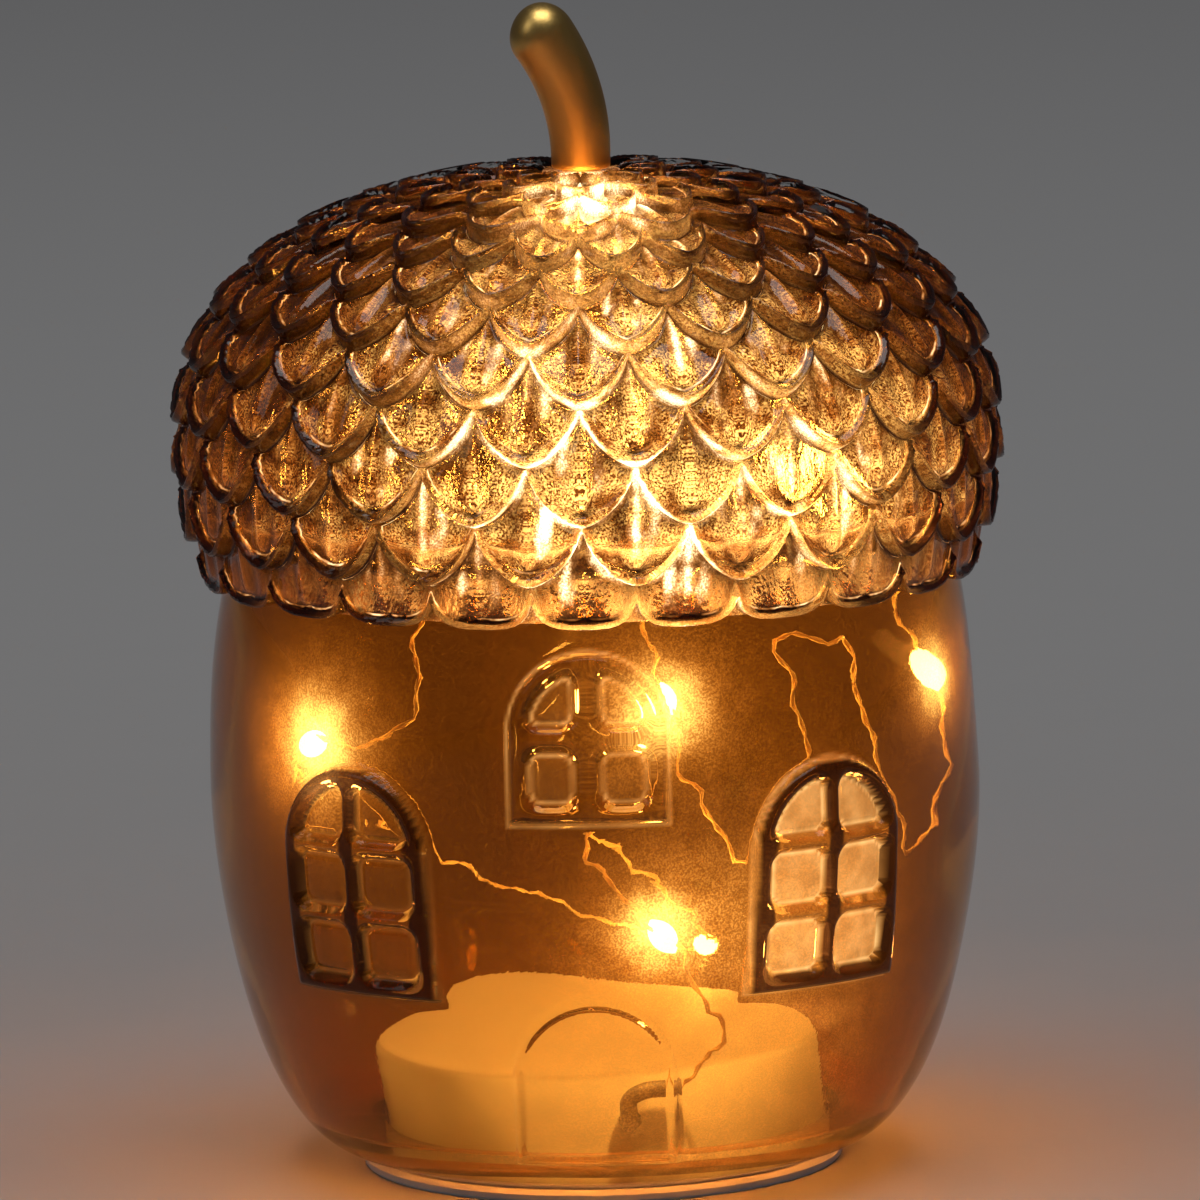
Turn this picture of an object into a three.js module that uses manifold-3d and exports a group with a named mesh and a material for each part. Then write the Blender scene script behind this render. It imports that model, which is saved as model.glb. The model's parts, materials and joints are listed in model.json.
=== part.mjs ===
// Glass acorn lantern: a moulded glass nut and scaled cap, lit from inside by a string of small LEDs
// that is fed from a battery drum in the bottom opening.
// Millimetres, +Z up, the moulded door faces -Y, origin on the resting plane under the axis.

import * as THREE from 'three';
import { mergeVertices } from 'three/addons/utils/BufferGeometryUtils.js';
import Module from 'manifold-3d';

// Fits between pieces
const SEAT_GAP = 0.2;
const SLIDE_GAP = 0.35;
const WELD = 1e-4;

// Fineness of round forms
const ROUND_SEGMENTS = 16;
const PIN_SEGMENTS = 12;
const CORNER_STEPS = 6;
const EDGE_ROUNDING = 0.3;
const LENGTH_SAMPLES = 400;

// Base plate
const FLANGE_RADIUS = 31.2;
const FLANGE_THICKNESS = 1.6;
const FLANGE_EDGE = 0.6;
const REST_RIM_WIDTH = 3.0;
const RECESS_DEPTH = 0.8;
const PLATE_THICKNESS = 3.0;
const BASE_SEGMENTS = 48;

// Drum that covers the battery bay
const DRUM_RADIUS = 28.2;
const DRUM_WALL = 1.4;
const DRUM_HEIGHT = 17.2;
const DRUM_EDGE = 1.2;
const BOSS_RADIUS = 2.3;
const BOSS_OFFSET = 17.5;

// Screws
const SCREW_RADIUS = 1.1;
const SCREW_LENGTH = 8.0;
const SCREW_HEAD_RADIUS = 2.1;
const SCREW_HEAD_HEIGHT = 1.3;
const SCREW_HEAD_CHAMFER = 0.5;
const SCREW_SLOT_LENGTH = 2.7;
const SCREW_SLOT_WIDTH = 0.6;
const SCREW_SLOT_DEPTH = 0.5;

// Cells and contacts
const CELL_LENGTH = 44.5;
const CELL_RADIUS = 5.25;
const CELL_SPACING = 0.5;
const CELL_EDGE = 0.5;
const CELL_SEGMENTS = 20;
const NUB_RADIUS = 1.9;
const NUB_LENGTH = 0.9;
const SPRING_LENGTH = 3.4;
const SPRING_RADIUS = 2.4;
const SPRING_WIRE = 0.4;
const SPRING_TURNS = 3;
const SPRING_TURN_POINTS = 8;
const SPRING_TURN_STEPS = 10;
const SPRING_SIDES = 5;
const CONTACT_THICKNESS = 0.5;
const CONTACT_HEIGHT = 9.0;
const CONTACT_REACH = 3.0;
const END_RIB_WIDTH = 8.6;
const END_RIB_HEIGHT = 7.5;

// Battery door
const DOOR_THICKNESS = 1.5;
const DOOR_LEDGE = 0.8;
const DOOR_CORNER = 3.6;
const DOOR_BARREL_RADIUS = 1.5;
const DOOR_PIN_RADIUS = 0.7;
const DOOR_PIN_LENGTH = 1.4;
const DOOR_BARREL_INSET = 4.2;
const DOOR_EAR = 1.9;
const DOOR_NOTCH_RADIUS = 2.4;
const DOOR_NOTCH_DEPTH = 0.6;

// Circuit board and switch
const BOARD_LENGTH = 22.0;
const BOARD_WIDTH = 10.0;
const BOARD_THICKNESS = 1.2;
const BOARD_CENTRE_Y = -18.2;
const POST_RADIUS = 1.1;
const POST_INSET = 1.7;
const CHIP_SIZE = [5.0, 4.0, 1.5];
const CHIP_PLACE_X = -4.0;
const RESISTOR_SIZE = [3.2, 1.6, 0.6];
const RESISTOR_PLACE_X = -9.0;
const SWITCH_SIZE = [12.5, 4.8, 4.4];
const SWITCH_TRAVEL = 4.0;
const KNOB_SIZE = [3.0, 2.4];
const KNOB_RECESS = 0.5;
const KNOB_ENGAGEMENT = 2.0;
const THUMB_DISH_MARGIN = 1.6;
const THUMB_DISH_DEPTH = 0.9;

// Leads, sleeve and LED wire
const LEAD_DIAMETER = 0.8;
const LEAD_STEPS = 8;
const LEAD_BEND = 1.0;
const SOLDER_INSET = 2.0;
const SLEEVE_DIAMETER = 2.2;
const SLEEVE_STEPS = 10;
const SLEEVE_PLACE_X = 4.0;
const SLEEVE_RISE = 4.4;
const SLEEVE_STAND_OFF = 2.5;
const SLEEVE_TURN_LENGTH = 5.4;
const WIRE_DIAMETER = 0.8;
const WIRE_STEPS = 112;
const TUBE_SIDES = 8;
const BEAD_RADIUS = 1.7;
const BEAD_LENGTH = 4.2;
const BEAD_SIDES = 8;
const BEAD_END_SHARE = 0.3;
const BEAD_BARREL_SHARE = 0.4;
const STOP_SAMPLES = 20;

// Glass nut
const BOND_THICKNESS = 0.3;
const BOND_INSET = 0.3;
const OPENING_CLEARANCE = 0.5;
const HEEL_WIDTH = 1.9;
const HEEL_SWEEP = 16.1;
const HEEL_LIFT = 0.3;
const HEEL_DEPTH = 4.0;
const BELLY_RADIUS = 50.0;
const BELLY_HEIGHT = 50.2;
const BELLY_FULLNESS = 8.0;
const NUT_WALL = 2.3;
const LIP_RADIUS = 46.0;
const LIP_ENGAGEMENT = 6.0;
const SHOULDER_FULLNESS = 12.0;
const NUT_SEGMENTS = 40;
const NUT_CURVE_STEPS = 6;

// Windows and door moulded on the nut
const RELIEF = 1.1;
const FRAME_BAR = 2.2;
const PANE_BAR = 1.7;
const SIDE_WINDOW_ANGLE = 37;
const SIDE_WINDOW_WIDTH = 22.0;
const SIDE_WINDOW_SILL = 29.4;
const SIDE_WINDOW_HEIGHT = 29.5;
const SIDE_WINDOW_PANES = 3;
const TOP_WINDOW_WIDTH = 20.0;
const TOP_WINDOW_SILL = 52.6;
const TOP_WINDOW_HEIGHT = 21.7;
const TOP_WINDOW_PANES = 2;
const MOULDED_DOOR_WIDTH = 20.5;
const MOULDED_DOOR_SILL = 7.4;
const MOULDED_DOOR_HEIGHT = 22.3;
const MOULDED_DOOR_BAR = 0.9;
const MOULDED_DOOR_RELIEF = 0.5;
const ARCH_STEPS = 4;
const PANE_RISE = 0.25;
const ARCHED_PANE_RISE = 0.8;
const ARCHED_PANE_DROP = 0.1;

// Glass cap
const CAP_RADIUS = 52.4;
const CAP_RIM_HEIGHT = 77.4;
const CAP_RIM_RADIUS = 48.8;
const SKIRT_HEIGHT = 18.5;
const CROWN_RISE = 33.3;
const CROWN_FULLNESS = 2.3;
const CAP_WALL = 2.8;
const CAP_SEAT_CLEARANCE = 0.5;
const CAP_LEDGE = 2.4;
const CAP_COLUMNS = 96;
const SCALE_STAND_OFF = 1.1;
const SCALE_ROWS = [24, 24, 24, 24, 24, 24, 24, 24, 16, 16, 12, 12];
const RIM_ROW_SHARE = 0.74;
const TOP_ROW_SHARE = 0.8;
const SCALE_OVERLAP = 1.02;
const SCALE_STEP = 0.15;
const TIP_ROUNDNESS = 1.6;
const RIM_SQUARENESS = 3.2;
const NOTCH_LIMIT = 0.98;
const SKIRT_SHARE = 0.22;
const DOME_STEPS = 5;
const NECK_RADIUS = 5.2;
const NECK_HEIGHT = 0.5;

// Stem
const STEM_ROOT_RADIUS = 3.8;
const STEM_TIP_RADIUS = 4.3;
const STEM_LENGTH = 22.3;
const STEM_BEND_RADIUS = 27.0;
const STEM_STRAIGHT = 2.0;
const SPIGOT_RADIUS = 2.5;
const SPIGOT_LENGTH = 4.0;
const STEM_SEGMENTS = 16;
const STEM_LEVELS = 6;
const STEM_TIP_STEPS = 5;

// Heights and places that follow from the sizes above
const bayFloor = RECESS_DEPTH + PLATE_THICKNESS;
const recessRadius = FLANGE_RADIUS - REST_RIM_WIDTH;
const drumInnerRadius = DRUM_RADIUS - DRUM_WALL;
const drumCeiling = DRUM_HEIGHT - DRUM_WALL;
const drumFoot = FLANGE_THICKNESS + SEAT_GAP;
const cellHeight = bayFloor + SLIDE_GAP + CELL_RADIUS;
const cellPlaceY = CELL_RADIUS + CELL_SPACING / 2;
const bayHalfLength = (CELL_LENGTH + SPRING_LENGTH) / 2 + SEAT_GAP;
const bayHalfWidth = 2 * CELL_RADIUS + CELL_SPACING;
const doorHalfLength = bayHalfLength + DOOR_LEDGE;
const doorHalfWidth = bayHalfWidth + DOOR_LEDGE;
const doorUnder = RECESS_DEPTH + SEAT_GAP / 2;
const hingeHeight = doorUnder + DOOR_BARREL_RADIUS;
const hingePlaceY = doorHalfWidth - DOOR_BARREL_RADIUS;
const barrelHalfLength = doorHalfLength - DOOR_BARREL_INSET;
const boardUnder = bayFloor + SEAT_GAP + SWITCH_SIZE[2] + SEAT_GAP;
const boardTop = boardUnder + BOARD_THICKNESS;
const leadHeight = boardTop + SEAT_GAP + LEAD_DIAMETER / 2;
const bondFoot = FLANGE_THICKNESS + SEAT_GAP;
const glassFoot = bondFoot + BOND_THICKNESS + SEAT_GAP;
const openingRadius = DRUM_RADIUS + OPENING_CLEARANCE;
const heelRadius = openingRadius + HEEL_WIDTH;
const lipHeight = CAP_RIM_HEIGHT + LIP_ENGAGEMENT;
const widestHeight = CAP_RIM_HEIGHT + SKIRT_HEIGHT;
const crownHeight = widestHeight + CROWN_RISE;
const crownInside = crownHeight - CAP_WALL;
const domeRadius = CAP_RADIUS - CAP_WALL;
const ledgeRadius = LIP_RADIUS - NUT_WALL;
const neckTop = crownHeight + NECK_HEIGHT;
const boreRadius = SPIGOT_RADIUS + SLIDE_GAP;

const wasm = await Module();
wasm.setup();

const lantern = new THREE.Group();

function finish(colour, roughness, metalness = 0) {
  return new THREE.MeshStandardMaterial({ color: colour, roughness, metalness });
}

const NUT_GLASS = finish(0x9a5f22, 0.08);
const CAP_GLASS = finish(0x5a2a12, 0.1);
const SATIN_GOLD = finish(0xb08a45, 0.35, 1);
const WHITE_PLASTIC = finish(0xeceae4, 0.45);
const CLEAR_SILICONE = finish(0xd8c8b0, 0.4);
const CELL_JACKET = finish(0x3d4a58, 0.3, 0.6);
const NICKEL = finish(0xbfc0bd, 0.3, 1);
const BOARD_GREEN = finish(0x2f5d3a, 0.5);
const CHIP_BLACK = finish(0x1c1c1e, 0.5);
const SLEEVE_BLACK = finish(0x242424, 0.6);
const RED_JACKET = finish(0xa8231d, 0.5);
const COPPER = finish(0xc08a3e, 0.3, 1);
const WARM_RESIN = finish(0xffdf9a, 0.2);

function addPiece(name, geometry, material) {
  const piece = new THREE.Mesh(geometry, material);
  piece.name = name;
  lantern.add(piece);
  return piece;
}

// Joining and cutting
function solidOf(geometry) {
  const bare = geometry.clone();
  bare.deleteAttribute('normal');
  bare.deleteAttribute('uv');
  const welded = mergeVertices(bare, WELD);
  const vertProperties = new Float32Array(welded.attributes.position.array);
  const triVerts = new Uint32Array(welded.index.array);
  return new wasm.Manifold(new wasm.Mesh({ numProp: 3, vertProperties, triVerts }));
}

function geometryOf(solid) {
  const mesh = solid.getMesh();
  const geometry = new THREE.BufferGeometry();
  geometry.setAttribute('position', new THREE.BufferAttribute(new Float32Array(mesh.vertProperties), 3));
  geometry.setIndex(new THREE.BufferAttribute(new Uint32Array(mesh.triVerts), 1));
  return geometry;
}

function joined(solids) {
  return solids.reduce((whole, next) => whole.add(next));
}

function without(solid, cutters) {
  return cutters.reduce((rest, cutter) => rest.subtract(cutter), solid);
}

// A solid turned about Z from a profile of [radius, height] pairs, listed outwards and upwards
function turned(profile, segments) {
  const points = profile.map(([radius, height]) => new THREE.Vector2(radius, height));
  const onAxis = profile[0][0] === 0;
  if (!onAxis) {
    points.push(points[0].clone());
  }
  const geometry = new THREE.LatheGeometry(points, segments);
  geometry.rotateX(Math.PI / 2);
  return geometry;
}

function box(size, centre) {
  const geometry = new THREE.BoxGeometry(...size);
  geometry.translate(...centre);
  return geometry;
}

function post(radius, foot, top, x, y, segments = ROUND_SEGMENTS) {
  const geometry = turned([[0, foot], [radius, foot], [radius, top], [0, top]], segments);
  geometry.translate(x, y, 0);
  return geometry;
}

function bar(radius, from, to, y, z, segments = ROUND_SEGMENTS) {
  const geometry = new THREE.CylinderGeometry(radius, radius, to - from, segments);
  geometry.rotateZ(Math.PI / 2);
  geometry.translate((from + to) / 2, y, z);
  return geometry;
}

function roundedPlate(halfLength, halfWidth, corner, foot, top) {
  const outline = new THREE.Shape();
  const inner = [halfLength - corner, halfWidth - corner];
  outline.absarc(inner[0], inner[1], corner, 0, Math.PI / 2);
  outline.absarc(-inner[0], inner[1], corner, Math.PI / 2, Math.PI);
  outline.absarc(-inner[0], -inner[1], corner, Math.PI, 1.5 * Math.PI);
  outline.absarc(inner[0], -inner[1], corner, 1.5 * Math.PI, 2 * Math.PI);
  const geometry = new THREE.ExtrudeGeometry(outline, {
    depth: top - foot,
    bevelEnabled: false,
    curveSegments: CORNER_STEPS,
  });
  geometry.translate(0, 0, foot);
  return geometry;
}

function roundSection(diameter, sides) {
  const corners = [];
  for (let i = 0; i < sides; i += 1) {
    const angle = (2 * Math.PI * i) / sides;
    corners.push(new THREE.Vector2(Math.cos(angle), Math.sin(angle)).multiplyScalar(diameter / 2));
  }
  return new THREE.Shape(corners);
}

function curveThrough(points) {
  return new THREE.CatmullRomCurve3(points.map((point) => new THREE.Vector3(...point)));
}

function tube(curve, diameter, steps, sides = TUBE_SIDES) {
  return new THREE.ExtrudeGeometry(roundSection(diameter, sides), {
    steps,
    bevelEnabled: false,
    extrudePath: curve,
  });
}

// The least clear distance of a tube to its own other turns
function leastSelfGap(curve, diameter, skippedLength) {
  const points = curve.getSpacedPoints(LENGTH_SAMPLES);
  const skipped = Math.ceil((skippedLength / curve.getLength()) * LENGTH_SAMPLES);
  let least = Infinity;
  for (let i = 0; i < points.length; i += 1) {
    for (let j = i + skipped; j < points.length; j += 1) {
      least = Math.min(least, points[i].distanceTo(points[j]));
    }
  }
  return least - diameter;
}

// Base plate with the door opening, hinge sockets, switch slot and screw seats
function makeBasePlate() {
  const plateRadius = drumInnerRadius - SLIDE_GAP;
  const disc = solidOf(turned([
    [0, RECESS_DEPTH],
    [recessRadius, RECESS_DEPTH],
    [recessRadius, 0],
    [FLANGE_RADIUS - FLANGE_EDGE / 2, 0],
    [FLANGE_RADIUS, FLANGE_EDGE / 2],
    [FLANGE_RADIUS, FLANGE_THICKNESS - FLANGE_EDGE],
    [FLANGE_RADIUS - FLANGE_EDGE, FLANGE_THICKNESS],
    [plateRadius, FLANGE_THICKNESS],
    [plateRadius, bayFloor],
    [0, bayFloor],
  ], BASE_SEGMENTS));
  const additions = [];
  const ribThickness = plateRadius * Math.cos(Math.asin(END_RIB_WIDTH / 2 / plateRadius))
    - (bayHalfLength + CONTACT_THICKNESS + 2 * SEAT_GAP);
  const ribCentre = bayHalfLength + CONTACT_THICKNESS + 2 * SEAT_GAP + ribThickness / 2;
  for (const end of [-1, 1]) {
    additions.push(solidOf(box(
      [ribThickness, END_RIB_WIDTH, END_RIB_HEIGHT],
      [end * ribCentre, 0, bayFloor + END_RIB_HEIGHT / 2 - SEAT_GAP],
    )));
    additions.push(solidOf(post(
      POST_RADIUS,
      bayFloor - SEAT_GAP,
      boardUnder - SEAT_GAP,
      end * (BOARD_LENGTH / 2 - POST_INSET),
      BOARD_CENTRE_Y,
      PIN_SEGMENTS,
    )));
  }
  const through = 2 * bayFloor;
  const cuts = [
    solidOf(roundedPlate(bayHalfLength, bayHalfWidth, DOOR_CORNER, 0, through)),
    without(solidOf(roundedPlate(
      doorHalfLength + SLIDE_GAP,
      doorHalfWidth + SLIDE_GAP,
      DOOR_CORNER + SLIDE_GAP,
      0,
      doorUnder + DOOR_THICKNESS + SEAT_GAP,
    )), hingeEars(barrelHalfLength + SLIDE_GAP, DOOR_EAR)),
    solidOf(box(
      [2 * (barrelHalfLength + SLIDE_GAP), 2 * (DOOR_BARREL_RADIUS + SLIDE_GAP), through],
      [0, hingePlaceY, through / 2],
    )),
    solidOf(bar(
      DOOR_PIN_RADIUS + SLIDE_GAP,
      -barrelHalfLength - DOOR_PIN_LENGTH - SLIDE_GAP,
      barrelHalfLength + DOOR_PIN_LENGTH + SLIDE_GAP,
      hingePlaceY,
      hingeHeight,
    )),
    ...switchCuts(through),
  ];
  for (const [x, y] of screwPlaces()) {
    cuts.push(solidOf(post(SCREW_RADIUS + SLIDE_GAP, 0, through, x, y)));
    const seatTop = RECESS_DEPTH + SCREW_HEAD_HEIGHT + SEAT_GAP;
    cuts.push(solidOf(post(SCREW_HEAD_RADIUS + SLIDE_GAP, 0, seatTop, x, y)));
  }
  return geometryOf(without(joined([disc, ...additions]), cuts));
}

// The corners of the door opening where the plate keeps a bearing for each hinge pin
function hingeEars(from, near) {
  const reach = 2 * doorHalfLength;
  return [-1, 1].map((end) => solidOf(box(
    [reach, reach, reach],
    [end * (from + reach / 2), hingePlaceY - near + reach / 2, 0],
  )));
}

function switchCuts(through) {
  const slot = [KNOB_SIZE[0] + SWITCH_TRAVEL + 2 * SLIDE_GAP, KNOB_SIZE[1] + 2 * SLIDE_GAP];
  const dish = slot.map((side) => side + 2 * THUMB_DISH_MARGIN);
  const dishTop = RECESS_DEPTH + THUMB_DISH_DEPTH;
  return [
    solidOf(box([...slot, through], [0, BOARD_CENTRE_Y, through / 2])),
    solidOf(box([...dish, dishTop], [0, BOARD_CENTRE_Y, dishTop / 2])),
  ];
}

function screwPlaces() {
  const places = [];
  for (const x of [-BOSS_OFFSET, BOSS_OFFSET]) {
    for (const y of [-BOSS_OFFSET, BOSS_OFFSET]) {
      places.push([x, y]);
    }
  }
  return places;
}

// Drum with screw bosses and the side hole that the sleeve comes out of
function makeDrum() {
  const shell = solidOf(turned([
    [0, drumCeiling],
    [drumInnerRadius, drumCeiling],
    [drumInnerRadius, drumFoot],
    [DRUM_RADIUS, drumFoot],
    [DRUM_RADIUS, DRUM_HEIGHT - DRUM_EDGE],
    [DRUM_RADIUS - EDGE_ROUNDING * DRUM_EDGE, DRUM_HEIGHT - EDGE_ROUNDING * DRUM_EDGE],
    [DRUM_RADIUS - DRUM_EDGE, DRUM_HEIGHT],
    [0, DRUM_HEIGHT],
  ], BASE_SEGMENTS));
  const bosses = [];
  const holes = [];
  const bossFoot = bayFloor + SEAT_GAP;
  const holeTop = RECESS_DEPTH + SCREW_HEAD_HEIGHT + SCREW_LENGTH + 2 * SLIDE_GAP;
  for (const [x, y] of screwPlaces()) {
    bosses.push(solidOf(post(BOSS_RADIUS, bossFoot, drumCeiling + SEAT_GAP, x, y)));
    holes.push(solidOf(post(SCREW_RADIUS + SEAT_GAP, drumFoot, holeTop, x, y)));
  }
  const sideHole = new THREE.CylinderGeometry(
    SLEEVE_DIAMETER / 2 + SLIDE_GAP,
    SLEEVE_DIAMETER / 2 + SLIDE_GAP,
    4 * DRUM_WALL,
    ROUND_SEGMENTS,
  );
  sideHole.translate(SLEEVE_PLACE_X, -drumInnerRadius, leadHeight);
  return geometryOf(without(joined([shell, ...bosses]), [...holes, solidOf(sideHole)]));
}

function makeScrew(x, y) {
  const headFoot = RECESS_DEPTH;
  const headTop = headFoot + SCREW_HEAD_HEIGHT;
  const screw = solidOf(turned([
    [0, headFoot],
    [SCREW_HEAD_RADIUS - SCREW_HEAD_CHAMFER, headFoot],
    [SCREW_HEAD_RADIUS, headFoot + SCREW_HEAD_CHAMFER],
    [SCREW_HEAD_RADIUS, headTop],
    [SCREW_RADIUS, headTop],
    [SCREW_RADIUS, headTop + SCREW_LENGTH - SCREW_RADIUS],
    [0, headTop + SCREW_LENGTH],
  ], ROUND_SEGMENTS));
  const slots = [
    solidOf(box([SCREW_SLOT_LENGTH, SCREW_SLOT_WIDTH, 2 * SCREW_SLOT_DEPTH], [0, 0, headFoot])),
    solidOf(box([SCREW_SLOT_WIDTH, SCREW_SLOT_LENGTH, 2 * SCREW_SLOT_DEPTH], [0, 0, headFoot])),
  ];
  const geometry = geometryOf(without(screw, slots));
  geometry.translate(x, y, 0);
  return geometry;
}

// Battery door: panel, hinge barrel, two pins and a finger notch
function makeBatteryDoor() {
  const panel = solidOf(roundedPlate(
    doorHalfLength,
    doorHalfWidth,
    DOOR_CORNER,
    doorUnder,
    doorUnder + DOOR_THICKNESS,
  ));
  const hingeSide = solidOf(box(
    [4 * doorHalfLength, 2 * DOOR_BARREL_RADIUS, 4 * DOOR_THICKNESS],
    [0, hingePlaceY + DOOR_BARREL_RADIUS, doorUnder],
  ));
  const barrel = solidOf(bar(
    DOOR_BARREL_RADIUS,
    -barrelHalfLength,
    barrelHalfLength,
    hingePlaceY,
    hingeHeight,
  ));
  const pinEnd = barrelHalfLength + DOOR_PIN_LENGTH;
  const pins = solidOf(bar(DOOR_PIN_RADIUS, -pinEnd, pinEnd, hingePlaceY, hingeHeight, PIN_SEGMENTS));
  const notch = solidOf(post(
    DOOR_NOTCH_RADIUS,
    0,
    doorUnder + DOOR_NOTCH_DEPTH,
    0,
    DOOR_NOTCH_RADIUS - doorHalfWidth,
  ));
  const swingReach = Math.hypot(DOOR_EAR + SLIDE_GAP, hingeHeight - RECESS_DEPTH);
  const leaf = without(panel, [hingeSide, ...hingeEars(barrelHalfLength, swingReach)]);
  return geometryOf(joined([leaf, barrel, pins]).subtract(notch));
}

// Cells lie along X, one each way round, so that each has its own spring at its flat end
function makeCell(side) {
  const half = CELL_LENGTH / 2;
  const geometry = turned([
    [0, -half],
    [CELL_RADIUS - CELL_EDGE, -half],
    [CELL_RADIUS, -half + CELL_EDGE],
    [CELL_RADIUS, half - NUB_LENGTH - CELL_EDGE],
    [CELL_RADIUS - CELL_EDGE, half - NUB_LENGTH],
    [NUB_RADIUS, half - NUB_LENGTH],
    [NUB_RADIUS, half],
    [0, half],
  ], CELL_SEGMENTS);
  geometry.rotateY(side * Math.PI / 2);
  geometry.translate(side * SPRING_LENGTH / 2, side * cellPlaceY, cellHeight);
  return geometry;
}

function springCurve(side) {
  const foot = -bayHalfLength + SEAT_GAP + SPRING_WIRE / 2;
  const length = SPRING_LENGTH - 2 * SEAT_GAP - SPRING_WIRE;
  const points = [];
  const steps = SPRING_TURN_POINTS * SPRING_TURNS;
  for (let i = 0; i <= steps; i += 1) {
    const angle = (2 * Math.PI * i) / SPRING_TURN_POINTS;
    points.push([
      side * (foot + (length * i) / steps),
      side * cellPlaceY + SPRING_RADIUS * Math.cos(angle),
      cellHeight + SPRING_RADIUS * Math.sin(angle),
    ]);
  }
  return curveThrough(points);
}

function makeSpring(side) {
  const curve = springCurve(side);
  const halfTurn = Math.PI * SPRING_RADIUS;
  const gap = leastSelfGap(curve, SPRING_WIRE, halfTurn);
  console.log(`contact spring: least gap to itself ${gap.toFixed(2)} mm`);
  return tube(curve, SPRING_WIRE, SPRING_TURN_STEPS * SPRING_TURNS, SPRING_SIDES);
}

function makeContact(end, fromY, toY) {
  const x = end * (bayHalfLength + SEAT_GAP + CONTACT_THICKNESS / 2);
  const foot = bayFloor + SEAT_GAP;
  return box(
    [CONTACT_THICKNESS, toY - fromY, CONTACT_HEIGHT],
    [x, (fromY + toY) / 2, foot + CONTACT_HEIGHT / 2],
  );
}

// Switch housing with the pocket that the knob slides in
function makeSwitchHousing() {
  const centre = [0, BOARD_CENTRE_Y, bayFloor + SEAT_GAP + SWITCH_SIZE[2] / 2];
  const housing = solidOf(box(SWITCH_SIZE, centre));
  const pocketTop = bayFloor + SEAT_GAP + KNOB_ENGAGEMENT + SLIDE_GAP;
  const pocket = solidOf(box(
    [KNOB_SIZE[0] + SWITCH_TRAVEL + 2 * SLIDE_GAP, KNOB_SIZE[1] + 2 * SLIDE_GAP, 2 * (pocketTop - bayFloor)],
    [0, BOARD_CENTRE_Y, bayFloor],
  ));
  return geometryOf(housing.subtract(pocket));
}

// The knob rests at the lit end of its travel
function makeSwitchKnob() {
  const foot = RECESS_DEPTH + KNOB_RECESS;
  const top = bayFloor + SEAT_GAP + KNOB_ENGAGEMENT;
  return box([...KNOB_SIZE, top - foot], [-SWITCH_TRAVEL / 2, BOARD_CENTRE_Y, (foot + top) / 2]);
}

// Glass nut
function nutOutline(grow) {
  const outline = new THREE.Path();
  const foot = glassFoot;
  const belly = BELLY_RADIUS + grow;
  const lip = LIP_RADIUS + grow;
  outline.moveTo(heelRadius + grow, foot);
  outline.bezierCurveTo(
    heelRadius + HEEL_SWEEP + grow, foot + HEEL_LIFT,
    belly, BELLY_HEIGHT - BELLY_FULLNESS,
    belly, BELLY_HEIGHT,
  );
  outline.bezierCurveTo(
    belly, BELLY_HEIGHT + SHOULDER_FULLNESS,
    lip + NUT_WALL, lipHeight - SHOULDER_FULLNESS / 2,
    lip, lipHeight,
  );
  return outline.getPoints(NUT_CURVE_STEPS).map((point) => [point.x, point.y]);
}

function nutSolid(grow) {
  return solidOf(turned([[0, glassFoot], ...nutOutline(grow), [0, lipHeight]], NUT_SEGMENTS));
}

function nutHollow() {
  const heelTop = glassFoot + HEEL_DEPTH;
  const wall = nutOutline(-NUT_WALL).filter(([radius, height]) => height > heelTop && radius > openingRadius);
  return solidOf(turned([
    [0, glassFoot - NUT_WALL],
    [openingRadius, glassFoot - NUT_WALL],
    [openingRadius, heelTop],
    ...wall,
    [ledgeRadius, lipHeight + NUT_WALL],
    [0, lipHeight + NUT_WALL],
  ], NUT_SEGMENTS));
}

// An arched panel: straight sides from the sill, half an ellipse on top
function arch(centreX, sill, halfWidth, springLine, rise) {
  const shape = new THREE.Shape();
  shape.moveTo(centreX - halfWidth, sill);
  shape.lineTo(centreX + halfWidth, sill);
  shape.absellipse(centreX, springLine, halfWidth, rise, 0, Math.PI, false);
  return shape;
}

function windowPanes(width, sill, height, paneRows) {
  const half = width / 2;
  const paneHalf = (half - FRAME_BAR - PANE_BAR / 2) / 2;
  const paneCentre = PANE_BAR / 2 + paneHalf;
  const pitch = (height - 2 * FRAME_BAR + PANE_BAR) / paneRows;
  const panes = [];
  for (let row = 0; row < paneRows; row += 1) {
    const foot = sill + FRAME_BAR + row * pitch;
    const head = foot + pitch - PANE_BAR;
    const arched = row === paneRows - 1;
    const rise = arched ? ARCHED_PANE_RISE * paneHalf : PANE_RISE * paneHalf;
    const drop = arched ? ARCHED_PANE_DROP * half : 0;
    for (const side of [-1, 1]) {
      panes.push(arch(side * paneCentre, foot, paneHalf, head - rise - drop, rise));
    }
  }
  return panes;
}

// A flat outline pushed outwards from the axis
function pushedOut(shape, degrees) {
  const geometry = new THREE.ExtrudeGeometry(shape, {
    depth: BELLY_RADIUS + 2 * RELIEF,
    bevelEnabled: false,
    curveSegments: ARCH_STEPS,
  });
  geometry.rotateX(Math.PI / 2);
  geometry.rotateZ(THREE.MathUtils.degToRad(degrees));
  return solidOf(geometry);
}

// A frame trimmed to stand proud of the nut by one relief, with its openings cut out
function mouldedOnNut(frame, openings, degrees, relief) {
  const proud = pushedOut(frame, degrees).intersect(nutSolid(relief));
  return without(proud, openings.map((opening) => pushedOut(opening, degrees)));
}

function mouldedWindow(width, sill, height, paneRows, degrees) {
  const half = width / 2;
  const frame = arch(0, sill, half, sill + height - half, half);
  return mouldedOnNut(frame, windowPanes(width, sill, height, paneRows), degrees, RELIEF);
}

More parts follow.
